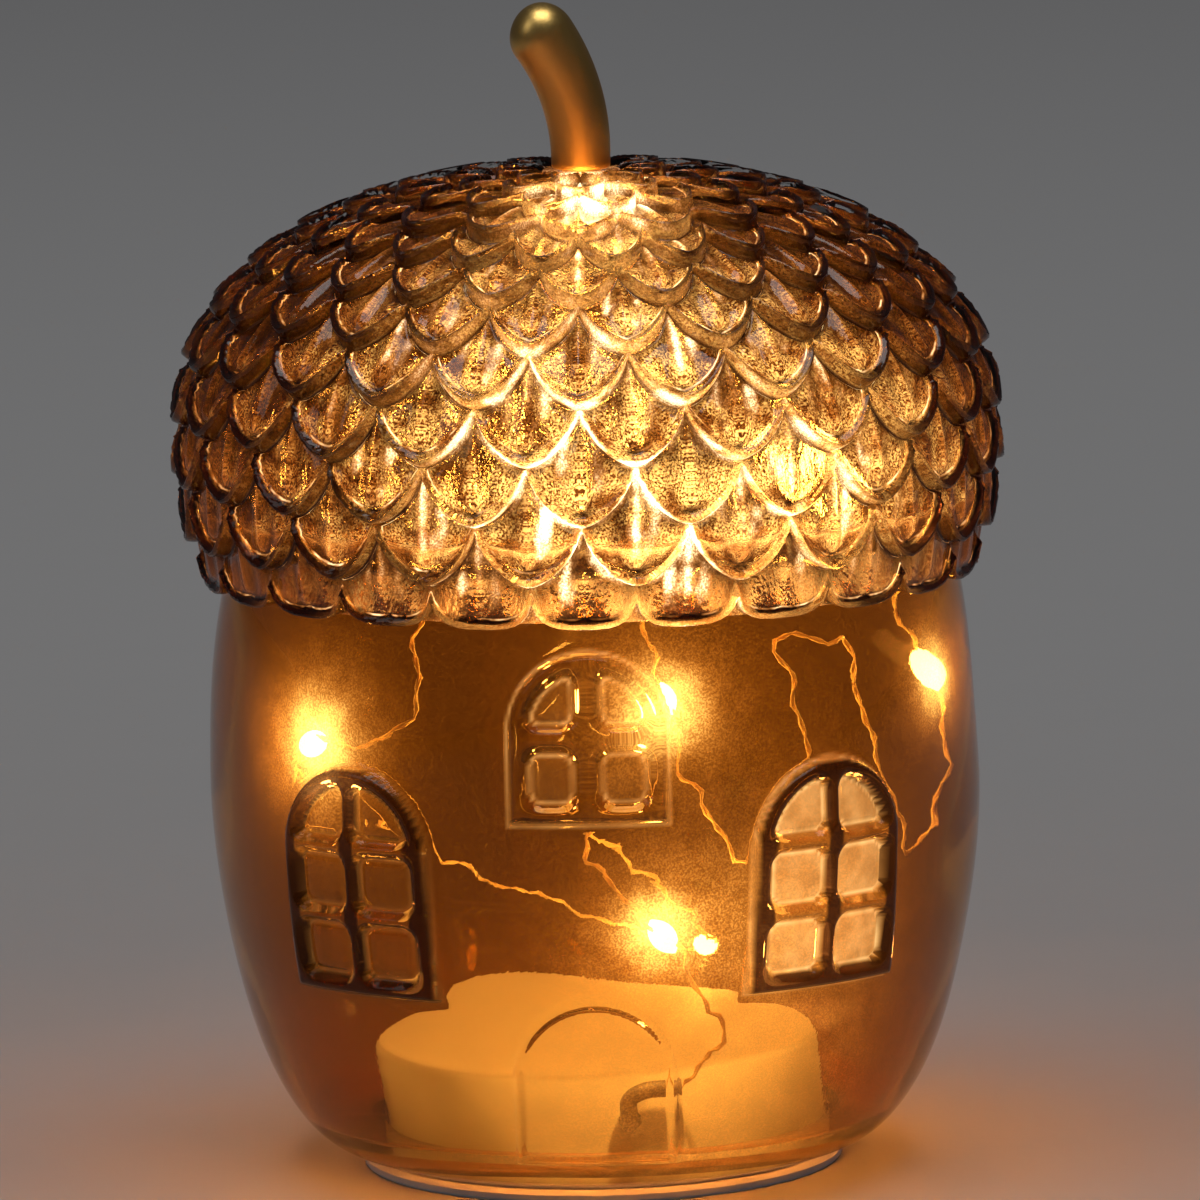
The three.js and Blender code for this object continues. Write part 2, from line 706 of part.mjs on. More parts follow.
function mouldedDoor() {
  const half = MOULDED_DOOR_WIDTH / 2;
  const springLine = MOULDED_DOOR_SILL + MOULDED_DOOR_HEIGHT - half;
  const inner = half - MOULDED_DOOR_BAR;
  const frame = arch(0, MOULDED_DOOR_SILL, half, springLine, half);
  const leaf = arch(0, MOULDED_DOOR_SILL + MOULDED_DOOR_BAR, inner, springLine, inner);
  return mouldedOnNut(frame, [leaf], 0, MOULDED_DOOR_RELIEF);
}

function makeNut() {
  const moulded = [mouldedDoor()];
  moulded.push(mouldedWindow(TOP_WINDOW_WIDTH, TOP_WINDOW_SILL, TOP_WINDOW_HEIGHT, TOP_WINDOW_PANES, 0));
  for (const side of [-1, 1]) {
    moulded.push(mouldedWindow(
      SIDE_WINDOW_WIDTH,
      SIDE_WINDOW_SILL,
      SIDE_WINDOW_HEIGHT,
      SIDE_WINDOW_PANES,
      side * SIDE_WINDOW_ANGLE,
    ));
  }
  return geometryOf(joined([nutSolid(0), ...moulded]).subtract(nutHollow()));
}

// Glass cap: the outer profile is a drawn-in skirt below the widest line and a full dome above it
function capPoint(share) {
  if (share < SKIRT_SHARE) {
    const down = 1 - share / SKIRT_SHARE;
    return [
      CAP_RADIUS - (CAP_RADIUS - CAP_RIM_RADIUS) * down * down,
      widestHeight - SKIRT_HEIGHT * down,
    ];
  }
  const turn = ((share - SKIRT_SHARE) / (1 - SKIRT_SHARE)) * (Math.PI / 2);
  const power = 2 / CROWN_FULLNESS;
  return [
    CAP_RADIUS * Math.cos(turn) ** power,
    widestHeight + CROWN_RISE * Math.sin(turn) ** power,
  ];
}

// The cap's meridian measured by its own length, from the rim to the neck
function capMeridian() {
  const samples = [];
  let length = 0;
  for (let i = 0; i <= LENGTH_SAMPLES; i += 1) {
    const [radius, height] = capPoint(i / LENGTH_SAMPLES);
    if (i > 0) {
      const last = samples[i - 1];
      length += Math.hypot(radius - last.radius, height - last.height);
    }
    samples.push({ radius, height, length });
  }
  const kept = samples.filter((sample) => sample.radius >= NECK_RADIUS);
  return { samples: kept, total: kept[kept.length - 1].length };
}

function meridianAt(meridian, length) {
  const wanted = Math.min(Math.max(length, 0), meridian.total);
  const { samples } = meridian;
  const after = Math.max(1, samples.findIndex((sample) => sample.length >= wanted - WELD));
  const low = samples[after - 1];
  const high = samples[after];
  const share = (wanted - low.length) / (high.length - low.length);
  const run = Math.hypot(high.radius - low.radius, high.height - low.height);
  return {
    radius: low.radius + share * (high.radius - low.radius),
    height: low.height + share * (high.height - low.height),
    outward: [(high.height - low.height) / run, -(high.radius - low.radius) / run],
  };
}

// Row tips step up the meridian, and the rows at the rim and near the neck are shorter
function rowTips(total) {
  const rows = SCALE_ROWS.length;
  const weights = SCALE_ROWS.map((_, row) => (
    row === 0 ? RIM_ROW_SHARE : 1 - (1 - TOP_ROW_SHARE) * (row / (rows - 1))
  ));
  const sum = weights.reduce((whole, weight) => whole + weight, 0);
  const tips = [0];
  for (const weight of weights) {
    tips.push(tips[tips.length - 1] + (weight / sum) * total);
  }
  return tips;
}

// How far a row's lower edge climbs above its tips at one column, with squarer tips in the row at the rim
function scallop(row, column) {
  const scales = SCALE_ROWS[row];
  const offset = row % 2 === 0 ? 0 : 0.5;
  const phase = (column / CAP_COLUMNS) * scales + offset;
  const fromTip = 2 * Math.abs(phase - Math.round(phase));
  const power = row === 0 ? RIM_SQUARENESS : TIP_ROUNDNESS;
  return 1 - (1 - Math.min(fromTip, NOTCH_LIMIT) ** power) ** (1 / power);
}

function ringAt(meridian, lengths, proud) {
  return lengths.map((length, column) => {
    const place = meridianAt(meridian, length);
    const radius = place.radius + proud * place.outward[0];
    const height = place.height + proud * place.outward[1];
    const angle = (2 * Math.PI * column) / lengths.length - Math.PI / 2;
    return new THREE.Vector3(radius * Math.cos(angle), radius * Math.sin(angle), height);
  });
}

function plainRing(radius, height, count) {
  const ring = [];
  for (let column = 0; column < count; column += 1) {
    const angle = (2 * Math.PI * column) / count - Math.PI / 2;
    ring.push(new THREE.Vector3(radius * Math.cos(angle), radius * Math.sin(angle), height));
  }
  return ring;
}

// Outside rings from the rim up: each row runs from its proud tip edge back to its sunk root
function capOuterRings() {
  const meridian = capMeridian();
  const tips = rowTips(meridian.total);
  const rings = [];
  const columns = Array.from({ length: CAP_COLUMNS }, (_, column) => column);
  for (let row = 0; row < SCALE_ROWS.length; row += 1) {
    const pitch = tips[row + 1] - tips[row];
    const lower = columns.map((column) => tips[row] + SCALE_OVERLAP * pitch * scallop(row, column));
    const upperRow = Math.min(row + 1, SCALE_ROWS.length - 1);
    const lastRow = row === SCALE_ROWS.length - 1;
    const upper = columns.map((column) => (
      lastRow ? meridian.total : tips[row + 1] + SCALE_OVERLAP * pitch * scallop(upperRow, column)
    ));
    rings.push(ringAt(meridian, lower.map((length) => length + SCALE_STEP), SCALE_STAND_OFF));
    rings.push(ringAt(meridian, upper.map((length) => length - SCALE_STEP), 0));
  }
  return rings;
}

function capInnerRings(count) {
  const seatHeight = lipHeight + SEAT_GAP;
  const ledgeTop = seatHeight + CAP_LEDGE;
  const rings = [
    plainRing(boreRadius, neckTop, count),
    plainRing(boreRadius, crownInside, count),
  ];
  for (let i = 1; i <= DOME_STEPS; i += 1) {
    const turn = (i / DOME_STEPS) * (Math.PI / 2);
    const power = 2 / CROWN_FULLNESS;
    const radius = domeRadius * Math.sin(turn) ** power;
    const height = widestHeight + (crownInside - widestHeight) * Math.cos(turn) ** power;
    rings.push(plainRing(radius, height, count));
  }
  rings.push(plainRing(domeRadius, ledgeTop + CAP_LEDGE, count));
  rings.push(plainRing(ledgeRadius, ledgeTop, count));
  rings.push(plainRing(ledgeRadius, seatHeight, count));
  rings.push(plainRing(LIP_RADIUS + CAP_SEAT_CLEARANCE, seatHeight, count));
  rings.push(plainRing(nutRadiusAt(CAP_RIM_HEIGHT) + CAP_SEAT_CLEARANCE, CAP_RIM_HEIGHT, count));
  return rings;
}

function nutRadiusAt(height) {
  const outline = nutOutline(0);
  const after = outline.findIndex((point) => point[1] >= height);
  const [low, high] = [outline[after - 1], outline[after]];
  const share = (height - low[1]) / (high[1] - low[1]);
  return low[0] + share * (high[0] - low[0]);
}

// A closed skin over rings of points, where a ring may have half as many points as the one before
function skinOver(rings) {
  const positions = [];
  const starts = rings.map((ring) => {
    const start = positions.length / 3;
    ring.forEach((point) => positions.push(point.x, point.y, point.z));
    return start;
  });
  const faces = [];
  rings.forEach((ring, index) => {
    const next = rings[(index + 1) % rings.length];
    const here = starts[index];
    const there = starts[(index + 1) % rings.length];
    const wide = Math.max(ring.length, next.length);
    const at = (start, size, column) => start + (Math.floor((column * size) / wide) % size);
    for (let column = 0; column < wide; column += 1) {
      const corners = [
        at(here, ring.length, column),
        at(here, ring.length, column + 1),
        at(there, next.length, column + 1),
        at(there, next.length, column),
      ];
      if (corners[0] !== corners[1]) {
        faces.push(corners[0], corners[1], corners[2]);
      }
      if (corners[2] !== corners[3]) {
        faces.push(corners[0], corners[2], corners[3]);
      }
    }
  });
  const geometry = new THREE.BufferGeometry();
  geometry.setAttribute('position', new THREE.Float32BufferAttribute(positions, 3));
  geometry.setIndex(faces);
  return geometry;
}

function makeCap() {
  const outer = capOuterRings();
  outer.push(plainRing(NECK_RADIUS - EDGE_ROUNDING * NECK_HEIGHT, neckTop, CAP_COLUMNS / 2));
  return skinOver([...outer, ...capInnerRings(CAP_COLUMNS / 2)]);
}

// Stem: a round bar with a spigot below and a round tip, bent over towards -X
function makeStem() {
  const seat = neckTop + SEAT_GAP;
  const profile = [
    [0, seat - SPIGOT_LENGTH],
    [SPIGOT_RADIUS, seat - SPIGOT_LENGTH],
    [SPIGOT_RADIUS, seat],
    [STEM_ROOT_RADIUS, seat],
  ];
  const barrelTop = seat + STEM_LENGTH - STEM_TIP_RADIUS;
  for (let i = 1; i <= STEM_LEVELS; i += 1) {
    const share = i / STEM_LEVELS;
    profile.push([
      STEM_ROOT_RADIUS + share * (STEM_TIP_RADIUS - STEM_ROOT_RADIUS),
      seat + share * (barrelTop - seat),
    ]);
  }
  for (let i = 1; i < STEM_TIP_STEPS; i += 1) {
    const turn = (i / STEM_TIP_STEPS) * (Math.PI / 2);
    profile.push([STEM_TIP_RADIUS * Math.cos(turn), barrelTop + STEM_TIP_RADIUS * Math.sin(turn)]);
  }
  profile.push([0, barrelTop + STEM_TIP_RADIUS]);
  const geometry = turned(profile, STEM_SEGMENTS);
  const place = geometry.attributes.position;
  const bendStart = seat + STEM_STRAIGHT;
  for (let i = 0; i < place.count; i += 1) {
    const along = place.getZ(i) - bendStart;
    if (along > 0) {
      const turn = along / STEM_BEND_RADIUS;
      const arm = STEM_BEND_RADIUS + place.getX(i);
      place.setX(i, arm * Math.cos(turn) - STEM_BEND_RADIUS);
      place.setZ(i, bendStart + arm * Math.sin(turn));
    }
  }
  return geometry;
}

// LED wire: one unbroken run from the sleeve through the nut and up into the cap
const sleeveOut = -DRUM_RADIUS - SLEEVE_STAND_OFF;
const sleeveTop = leadHeight + SLEEVE_RISE;
const sleeveEnd = [SLEEVE_PLACE_X + SLEEVE_TURN_LENGTH, sleeveOut + SLEEVE_DIAMETER / 2, sleeveTop];
const SLEEVE_ROUTE = [
  [SLEEVE_PLACE_X, DRUM_WALL - drumInnerRadius, leadHeight],
  [SLEEVE_PLACE_X, sleeveOut + SLEEVE_DIAMETER / 2, leadHeight],
  [SLEEVE_PLACE_X, sleeveOut, leadHeight + SLEEVE_RISE / 4],
  [SLEEVE_PLACE_X, sleeveOut, leadHeight + 3 * SLEEVE_RISE / 4],
  [SLEEVE_PLACE_X + SLEEVE_TURN_LENGTH / 3, sleeveOut, sleeveTop],
  sleeveEnd,
];

// Each stop is a turn from the front in degrees, a share of the hollow's radius and a share of its height
const LED = true;
const WIRE_STOPS = [
  [23.3, 0.898, 0.174],
  [10.7, 0.914, 0.302, LED],
  [2.3, 0.803, 0.345],
  [-1.3, 0.546, 0.379],
  [154.0, 0.684, 0.182, LED],
  [-164.1, 0.643, 0.229],
  [-133.8, 0.711, 0.301],
  [-99.5, 0.766, 0.380],
  [-69.8, 0.850, 0.427],
  [-50.4, 0.928, 0.478, LED],
  [-36.0, 0.889, 0.484],
  [-32.2, 0.860, 0.535],
  [-36.3, 0.787, 0.592],
  [-99.5, 0.557, 0.680],
  [-137.3, 0.796, 0.641, LED],
  [-169.7, 0.729, 0.578],
  [150.3, 0.354, 0.601],
  [20.6, 0.416, 0.569],
  [18.4, 0.605, 0.511, LED],
  [20.3, 0.828, 0.421],
  [28.4, 0.861, 0.366],
  [40.5, 0.886, 0.453],
  [36.0, 0.886, 0.577],
  [54.1, 0.879, 0.549],
  [56.5, 0.877, 0.460],
  [73.8, 0.911, 0.330],
  [73.6, 0.968, 0.399],
  [78.2, 0.934, 0.507, LED],
  [69.8, 0.897, 0.617],
  [52.4, 0.900, 0.692, LED],
  [47.5, 0.745, 0.775],
  [75.5, 0.733, 0.815],
  [70.6, 0.897, 0.779],
  [47.0, 0.907, 0.744, LED],
  [30.1, 0.820, 0.720],
  [58.4, 0.349, 0.692],
  [121.0, 0.267, 0.708],
  [158.5, 0.098, 0.742, LED],
  [-63.4, 0.307, 0.815],
  [-36.9, 0.346, 0.894],
  [7.9, 0.477, 0.958, LED],
];

function hollowRadius(height) {
  if (height < lipHeight) {
    return nutRadiusAt(height) - NUT_WALL;
  }
  const rise = Math.max(0, height - widestHeight) / (crownInside - widestHeight);
  return Math.min(ledgeRadius, domeRadius * (1 - rise ** CROWN_FULLNESS) ** (1 / CROWN_FULLNESS));
}

function wireRoute() {
  const stops = WIRE_STOPS.map(([degrees, reach, rise]) => {
    const turn = THREE.MathUtils.degToRad(degrees);
    const height = rise * crownInside;
    const radius = reach * hollowRadius(height);
    return [radius * Math.sin(turn), -radius * Math.cos(turn), height];
  });
  return [[sleeveEnd[0] + SEAT_GAP + WIRE_DIAMETER / 2, sleeveEnd[1], sleeveEnd[2]], ...stops];
}

// The step of the tube that lies nearest to a stop of the route
function ledStep(curve, routeIndex) {
  const lengths = curve.getLengths(STOP_SAMPLES * WIRE_STOPS.length);
  const share = lengths[STOP_SAMPLES * routeIndex] / curve.getLength();
  return THREE.MathUtils.clamp(Math.floor(share * WIRE_STEPS), 0, WIRE_STEPS - 1);
}

function makeBead(curve, step) {
  const from = curve.getPointAt(step / WIRE_STEPS);
  const to = curve.getPointAt((step + 1) / WIRE_STEPS);
  const bore = WIRE_DIAMETER / 2 + SLIDE_GAP;
  const half = BEAD_LENGTH / 2;
  const endRadius = bore + BEAD_END_SHARE * (BEAD_RADIUS - bore);
  const geometry = turned([
    [bore, -half],
    [endRadius, -half],
    [BEAD_RADIUS, -BEAD_BARREL_SHARE * half],
    [BEAD_RADIUS, BEAD_BARREL_SHARE * half],
    [endRadius, half],
    [bore, half],
  ], BEAD_SIDES);
  const along = new THREE.Vector3().subVectors(to, from).normalize();
  const turn = new THREE.Quaternion().setFromUnitVectors(new THREE.Vector3(0, 0, 1), along);
  geometry.applyQuaternion(turn);
  const middle = new THREE.Vector3().addVectors(from, to).divideScalar(2);
  geometry.translate(middle.x, middle.y, middle.z);
  return geometry;
}

// Glass and stem
addPiece('glass_nut', makeNut(), NUT_GLASS);
addPiece('glass_cap', makeCap(), CAP_GLASS);
addPiece('stem', makeStem(), SATIN_GOLD);
addPiece('bond_ring', turned([
  [openingRadius + BOND_INSET, bondFoot],
  [heelRadius - BOND_INSET, bondFoot],
  [heelRadius - BOND_INSET, bondFoot + BOND_THICKNESS],
  [openingRadius + BOND_INSET, bondFoot + BOND_THICKNESS],
], BASE_SEGMENTS), CLEAR_SILICONE);

// Base
addPiece('base_plate', makeBasePlate(), WHITE_PLASTIC);
addPiece('drum_cover', makeDrum(), WHITE_PLASTIC);
addPiece('battery_door', makeBatteryDoor(), WHITE_PLASTIC);
screwPlaces().forEach(([x, y], index) => {
  addPiece(`base_screw_${index + 1}`, makeScrew(x, y), NICKEL);
});

// Cells and contacts
const contactNear = SEAT_GAP + CELL_SPACING;
const contactFar = cellPlaceY + CONTACT_REACH;
addPiece('cell_1', makeCell(1), CELL_JACKET);
addPiece('cell_2', makeCell(-1), CELL_JACKET);
addPiece('contact_spring_1', makeSpring(1), NICKEL);
addPiece('contact_spring_2', makeSpring(-1), NICKEL);
addPiece('contact_minus', makeContact(-1, contactNear, contactFar), NICKEL);
addPiece('contact_plus', makeContact(-1, -contactFar, -contactNear), NICKEL);
addPiece('contact_bridge', makeContact(1, -contactFar, contactFar), NICKEL);

// Circuit board and switch
addPiece('circuit_board', box(
  [BOARD_LENGTH, BOARD_WIDTH, BOARD_THICKNESS],
  [0, BOARD_CENTRE_Y, (boardUnder + boardTop) / 2],
), BOARD_GREEN);
addPiece('timer_chip', box(
  CHIP_SIZE,
  [CHIP_PLACE_X, BOARD_CENTRE_Y, boardTop + SEAT_GAP + CHIP_SIZE[2] / 2],
), CHIP_BLACK);
addPiece('resistor', box(
  RESISTOR_SIZE,
  [RESISTOR_PLACE_X, BOARD_CENTRE_Y, boardTop + SEAT_GAP + RESISTOR_SIZE[2] / 2],
), CHIP_BLACK);
addPiece('switch_housing', makeSwitchHousing(), NICKEL);
addPiece('switch_knob', makeSwitchKnob(), CHIP_BLACK);

// Leads
const contactTop = bayFloor + SEAT_GAP + CONTACT_HEIGHT;
const contactPlaceX = -(bayHalfLength + SEAT_GAP);
const overCells = drumCeiling - SEAT_GAP - LEAD_DIAMETER / 2;
const boardEdgeY = BOARD_CENTRE_Y + BOARD_WIDTH / 2;
const boardEndX = -BOARD_LENGTH / 2;
addPiece('red_lead', tube(curveThrough([
  [contactPlaceX, -cellPlaceY - LEAD_BEND, contactTop + SEAT_GAP + LEAD_DIAMETER / 2],
  [contactPlaceX + LEAD_BEND, -cellPlaceY - 4 * LEAD_BEND, contactTop + LEAD_DIAMETER],
  [contactPlaceX + 6 * LEAD_BEND, boardEdgeY - LEAD_BEND / 2, leadHeight + LEAD_BEND],
  [boardEndX + SOLDER_INSET, boardEdgeY - SOLDER_INSET, leadHeight],
]), LEAD_DIAMETER, LEAD_STEPS), RED_JACKET);
addPiece('black_lead', tube(curveThrough([
  [contactPlaceX, cellPlaceY / 2, contactTop + SEAT_GAP + LEAD_DIAMETER / 2],
  [contactPlaceX + LEAD_BEND, 0, contactTop + LEAD_BEND],
  [contactPlaceX + 6 * LEAD_BEND, 0, overCells],
  [contactPlaceX + 12 * LEAD_BEND, -cellPlaceY, overCells],
  [contactPlaceX + 14 * LEAD_BEND, -2 * cellPlaceY, overCells - LEAD_DIAMETER],
  [boardEndX + 2 * SOLDER_INSET, boardEdgeY - SOLDER_INSET, leadHeight],
]), LEAD_DIAMETER, LEAD_STEPS), SLEEVE_BLACK);
addPiece('string_lead', tube(curveThrough([
  [SLEEVE_PLACE_X - LEAD_BEND, BOARD_CENTRE_Y, leadHeight],
  [SLEEVE_PLACE_X, BOARD_CENTRE_Y - BOARD_WIDTH / 4, leadHeight],
  [SLEEVE_PLACE_X, DRUM_WALL - drumInnerRadius + SLIDE_GAP, leadHeight],
]), WIRE_DIAMETER, LEAD_STEPS), COPPER);

// LED string
const wireCurve = curveThrough(wireRoute());
const wireGap = leastSelfGap(wireCurve, WIRE_DIAMETER, BEAD_LENGTH);
const wireLength = wireCurve.getLength();
console.log(`LED wire: ${wireLength.toFixed(0)} mm long, least gap to itself ${wireGap.toFixed(2)} mm`);
addPiece('wire_sleeve', tube(curveThrough(SLEEVE_ROUTE), SLEEVE_DIAMETER, SLEEVE_STEPS), SLEEVE_BLACK);
addPiece('led_wire', tube(wireCurve, WIRE_DIAMETER, WIRE_STEPS), COPPER);
let beads = 0;
WIRE_STOPS.forEach(([, , , lit], index) => {
  if (lit) {
    beads += 1;
    addPiece(`led_bead_${beads}`, makeBead(wireCurve, ledStep(wireCurve, index + 1)), WARM_RESIN);
  }
});

export default lantern;
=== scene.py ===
"""Glass acorn lantern: the looks of its pieces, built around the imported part."""

import json
import math

import bpy
import numpy as np
from mathutils import Matrix, Vector


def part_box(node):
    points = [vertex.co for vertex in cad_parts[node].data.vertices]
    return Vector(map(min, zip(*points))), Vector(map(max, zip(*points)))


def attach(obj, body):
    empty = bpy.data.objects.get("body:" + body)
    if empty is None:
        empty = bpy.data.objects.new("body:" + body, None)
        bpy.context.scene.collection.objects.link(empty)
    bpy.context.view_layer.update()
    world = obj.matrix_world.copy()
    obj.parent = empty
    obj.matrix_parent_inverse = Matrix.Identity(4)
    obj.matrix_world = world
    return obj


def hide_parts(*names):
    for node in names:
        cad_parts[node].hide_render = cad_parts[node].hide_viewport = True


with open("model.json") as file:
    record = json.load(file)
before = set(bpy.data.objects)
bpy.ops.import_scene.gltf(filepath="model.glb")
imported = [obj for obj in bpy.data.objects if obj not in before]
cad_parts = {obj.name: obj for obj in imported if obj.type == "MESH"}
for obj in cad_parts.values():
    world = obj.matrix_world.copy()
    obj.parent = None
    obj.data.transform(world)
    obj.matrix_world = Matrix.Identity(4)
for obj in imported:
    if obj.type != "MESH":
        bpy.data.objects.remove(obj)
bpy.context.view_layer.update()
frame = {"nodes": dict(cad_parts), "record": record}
nodes = frame["nodes"]
MM = 0.001

# Sizes of the glass nut in millimetres
GLASS_FOOT = 2.3
OPENING_RADIUS = 28.7
HEEL_RADIUS = 30.6
HEEL_SWEEP = 16.1
HEEL_LIFT = 0.3
HEEL_DEPTH = 4.0
BELLY_RADIUS = 50.0
BELLY_HEIGHT = 50.2
BELLY_FULLNESS = 8.0
SHOULDER_FULLNESS = 12.0
NUT_WALL = 2.3
LIP_RADIUS = 46.0
LIP_HEIGHT = 83.4
SIDE_WINDOW_TURN = 37.0
SIDE_WINDOW = {
    "width": 22.0, "sill": 29.4, "height": 29.5, "pane_rows": 3,
    "frame_bar": 2.2, "pane_bar": 1.9, "bar_shade": 1.0,
}
TOP_WINDOW = {
    "width": 20.0, "sill": 52.6, "height": 21.7, "pane_rows": 2,
    "frame_bar": 2.5, "pane_bar": 3.2, "bar_shade": 0.12,
}
# Painted light for each window, given as glow: in its panes, along their rims and along its outline
LEFT_PANES = {"pane_light": 0.01, "rim_light": 0.08, "frame_light": 0.05}
RIGHT_PANES = {"pane_light": 0.46, "rim_light": 0.7, "frame_light": 0.4}
TOP_PANES = {"pane_light": 0.05, "rim_light": 0.5, "frame_light": 0.45}
BAR_PROUD = 1.9
PANE_CUSHION = 0.8
PANE_CORNER = 1.9
FILLET_HEIGHT = 0.22
FILLET_REACH = 0.6
DOOR_WIDTH = 20.5
DOOR_SILL = 7.4
DOOR_HEIGHT = 22.3
DOOR_BEAD_RADIUS = 0.5
DOOR_BEAD_PROUD = 0.8
DOOR_LEAF_PROUD = 0.25
LIP_ROUNDING = 0.35
HEEL_ROUNDING = 0.4

# Where painted shade and painted light lie on a window, in millimetres from its lines
FRAME_SHADE_EDGE = (0.15, 0.45)
PANE_SHADE_EDGE = (-0.5, -0.1)
POST_SHADE_EDGE = (0.3, -0.1)
PANE_LIGHT_EASE = 0.8
PANE_RIM_LINE = (-0.3, 0.22)
FRAME_LINE = (0.05, 0.25)

# Sizes of the glass cap in millimetres
SEAT_GAP = 0.2
CAP_RADIUS = 52.4
CAP_RIM_HEIGHT = 77.4
CAP_RIM_RADIUS = 48.8
WIDEST_HEIGHT = 95.9
CROWN_RISE = 33.3
CROWN_FULLNESS = 2.3
CAP_WALL = 2.8
CAP_LEDGE = 2.4
CAP_SEAT_CLEARANCE = 0.5
NECK_RADIUS = 5.2
NECK_TOP = 129.7
BORE_RADIUS = 2.85
SCALE_ROWS = [24] * 8 + [16, 16, 12, 12]
RIM_ROW_SHARE = 0.74
TOP_ROW_SHARE = 0.8
SCALE_OVERLAP = 1.02
RIM_SQUARENESS = 3.2
TIP_ROUNDNESS = 1.6

# Form of a scale in a row of the full pitch, in millimetres: lines are places inwards from its edge and widths
SCALE_PITCH = 7.5
SCALE_ROOT_DEPTH = 1.0
SCALE_BODY = 2.0
SCALE_THINNING = 0.8
NOSE_LENGTH = 0.9
BEAD_HEIGHT = 0.85
BEAD_LINE = (0.85, 0.55)
FLUTE_DEPTH = 0.3
FLUTE_TURNS = 1.7
FLUTE_START = (1.6, 3.2)
DIMPLE_DEPTH = 0.8
DIMPLE_HALF_WIDTH = 1.4
DIMPLE_LINE = (2.1, 0.6)
# Painted shade, as deeper tint: how deep it lies in the valleys between scales, and where the dark spot above
# each tip lies
VALLEY_SHADE_DEPTH = 1.8
TIP_SHADE_WIDTH = 0.26
TIP_SHADE_LINE = (1.9, 0.6)
RIM_TIP_SHADE_LINE = (1.8, 0.6)
SCALE_LEVELS = [0, 0.01, 0.025, 0.045, 0.07, 0.1, 0.14, 0.19, 0.26, 0.36, 0.5, 0.68, 0.87]

# How much light is painted on a scale as glow, along its edge and on its flutes
FAINT_LIGHT = 0.02
EDGE_LIGHT = 3.0
EDGE_LINE = (0.35, 0.3)
STREAK_LIGHT = 2.2
STREAK_WIDTH = 0.075

# Where glow from the LEDs is painted into the glass as emission: place and reach in millimetres, and strength
# The cap's lists are for its outer side, its inner side, its bright rolls and the lines beside its rolls
CAP_GLOWS = [
    ((-3, -50, 100), 21, 2.2),
    ((29, -43, 96), 13, 1.4),
    ((2, -26, 124), 10, 1.4),
    ((1, -12, 129), 8, 1.6),
    ((12, -48, 84), 14, 0.5),
]
CAP_FILL = [
    ((-3, -50, 98), 24, 0.7),
    ((29, -43, 96), 15, 0.7),
    ((2, -26, 124), 12, 0.9),
    ((1, -12, 129), 9, 1.4),
    ((38, -30, 89), 14, 0.35),
    ((6, -40, 96), 46, 0.75),
]
CAP_FRONT = [
    ((-1, -50, 99), 20, 1.0),
    ((27, -44, 93), 13, 0.8),
    ((2, -20, 126), 11, 0.9),
    ((6, -48, 79), 15, 0.9),
]
CAP_SIDES = [
    ((4, -40, 96), 44, 3.6),
]
NUT_GLOWS = [
    ((-34, -33, 61), 9, 0.9),
    ((-34, -33, 61), 4.2, 5.0),
    ((9, -46, 67), 9, 0.6),
    ((9.5, -46, 66.5), 3.8, 4.5),
    ((8, -45, 38.7), 9, 0.5),
    ((8, -45, 38.7), 3.6, 4.0),
    ((43, -19, 65.7), 7, 0.7),
    ((43, -19, 65.7), 3.4, 4.0),
    ((24, -41, 38), 16, 0.45),
    ((18, -33, 8), 20, 0.2),
    ((2, -40, 12), 20, 0.18),
]

# The fan of light below the stem: half widths in degrees at heights in millimetres, and the painted shade and
# dimmed painted glow beside it
FAN_HEIGHTS = [88, 96, 110, 122, 130]
FAN_DEGREES = [100, 72, 40, 18, 12]
FAN_EDGE = 0.5
CROWN_SHADE_DEPTH = 0.24
CROWN_DIMMING = 0.5

# Sizes of the stem in millimetres
STEM_ROOT_RADIUS = 3.8
STEM_TIP_RADIUS = 4.3
STEM_LENGTH = 22.3
STEM_BEND_RADIUS = 27.0
STEM_STRAIGHT = 2.0
SPIGOT_RADIUS = 2.5
SPIGOT_LENGTH = 4.0

# Sizes of the LED string in millimetres
SLEEVE_DIAMETER = 2.2
STRAND_DIAMETER = 0.36
STRAND_TWIST = 6.0
STRAND_KINKS = [(13.0, 0.55), (7.0, 0.4), (4.1, 0.22)]
STRAND_CLEAR_OF_SLEEVE = 8
DROP_RADIUS = 1.7
DROP_HALF_LENGTH = 2.7
DROP_FULLNESS = 0.3
LED_COUNT = 10


# Selecting and shaping

def only(piece):
    bpy.ops.object.select_all(action="DESELECT")
    piece.select_set(True)
    bpy.context.view_layer.objects.active = piece


def close_up(piece, merge=1e-6):
    """Merges the points that meet and turns every face outwards."""
    only(piece)
    bpy.ops.object.mode_set(mode="EDIT")
    bpy.ops.mesh.select_all(action="SELECT")
    bpy.ops.mesh.remove_doubles(threshold=merge)
    bpy.ops.mesh.normals_make_consistent(inside=False)
    bpy.ops.object.mode_set(mode="OBJECT")


def flat_sheet(name, columns, rows):
    """A flat sheet of square faces, with the column and the row of each of its points."""
    bpy.ops.object.select_all(action="DESELECT")
    bpy.ops.mesh.primitive_grid_add(x_subdivisions=columns, y_subdivisions=rows, size=1)
    piece = bpy.context.object
    piece.name = name
    flat = np.empty(3 * len(piece.data.vertices))
    piece.data.vertices.foreach_get("co", flat)
    flat = flat.reshape(-1, 3) + 0.5
    column = np.rint(flat[:, 0] * columns).astype(int)
    row = np.rint(flat[:, 1] * rows).astype(int)
    return piece, column, row


def wrap_sheet(piece, places):
    """Moves a sheet's points to their places in millimetres and closes it where its edges meet."""
    piece.data.vertices.foreach_set("co", (places * MM).ravel())
    piece.data.update()
    close_up(piece)
    bpy.ops.object.shade_smooth()
    return piece


def keep_value(piece, name, values):
    """Keeps a value at each point for the finish to read."""
    piece.data.attributes.new(name, "FLOAT", "POINT").data.foreach_set("value", values)


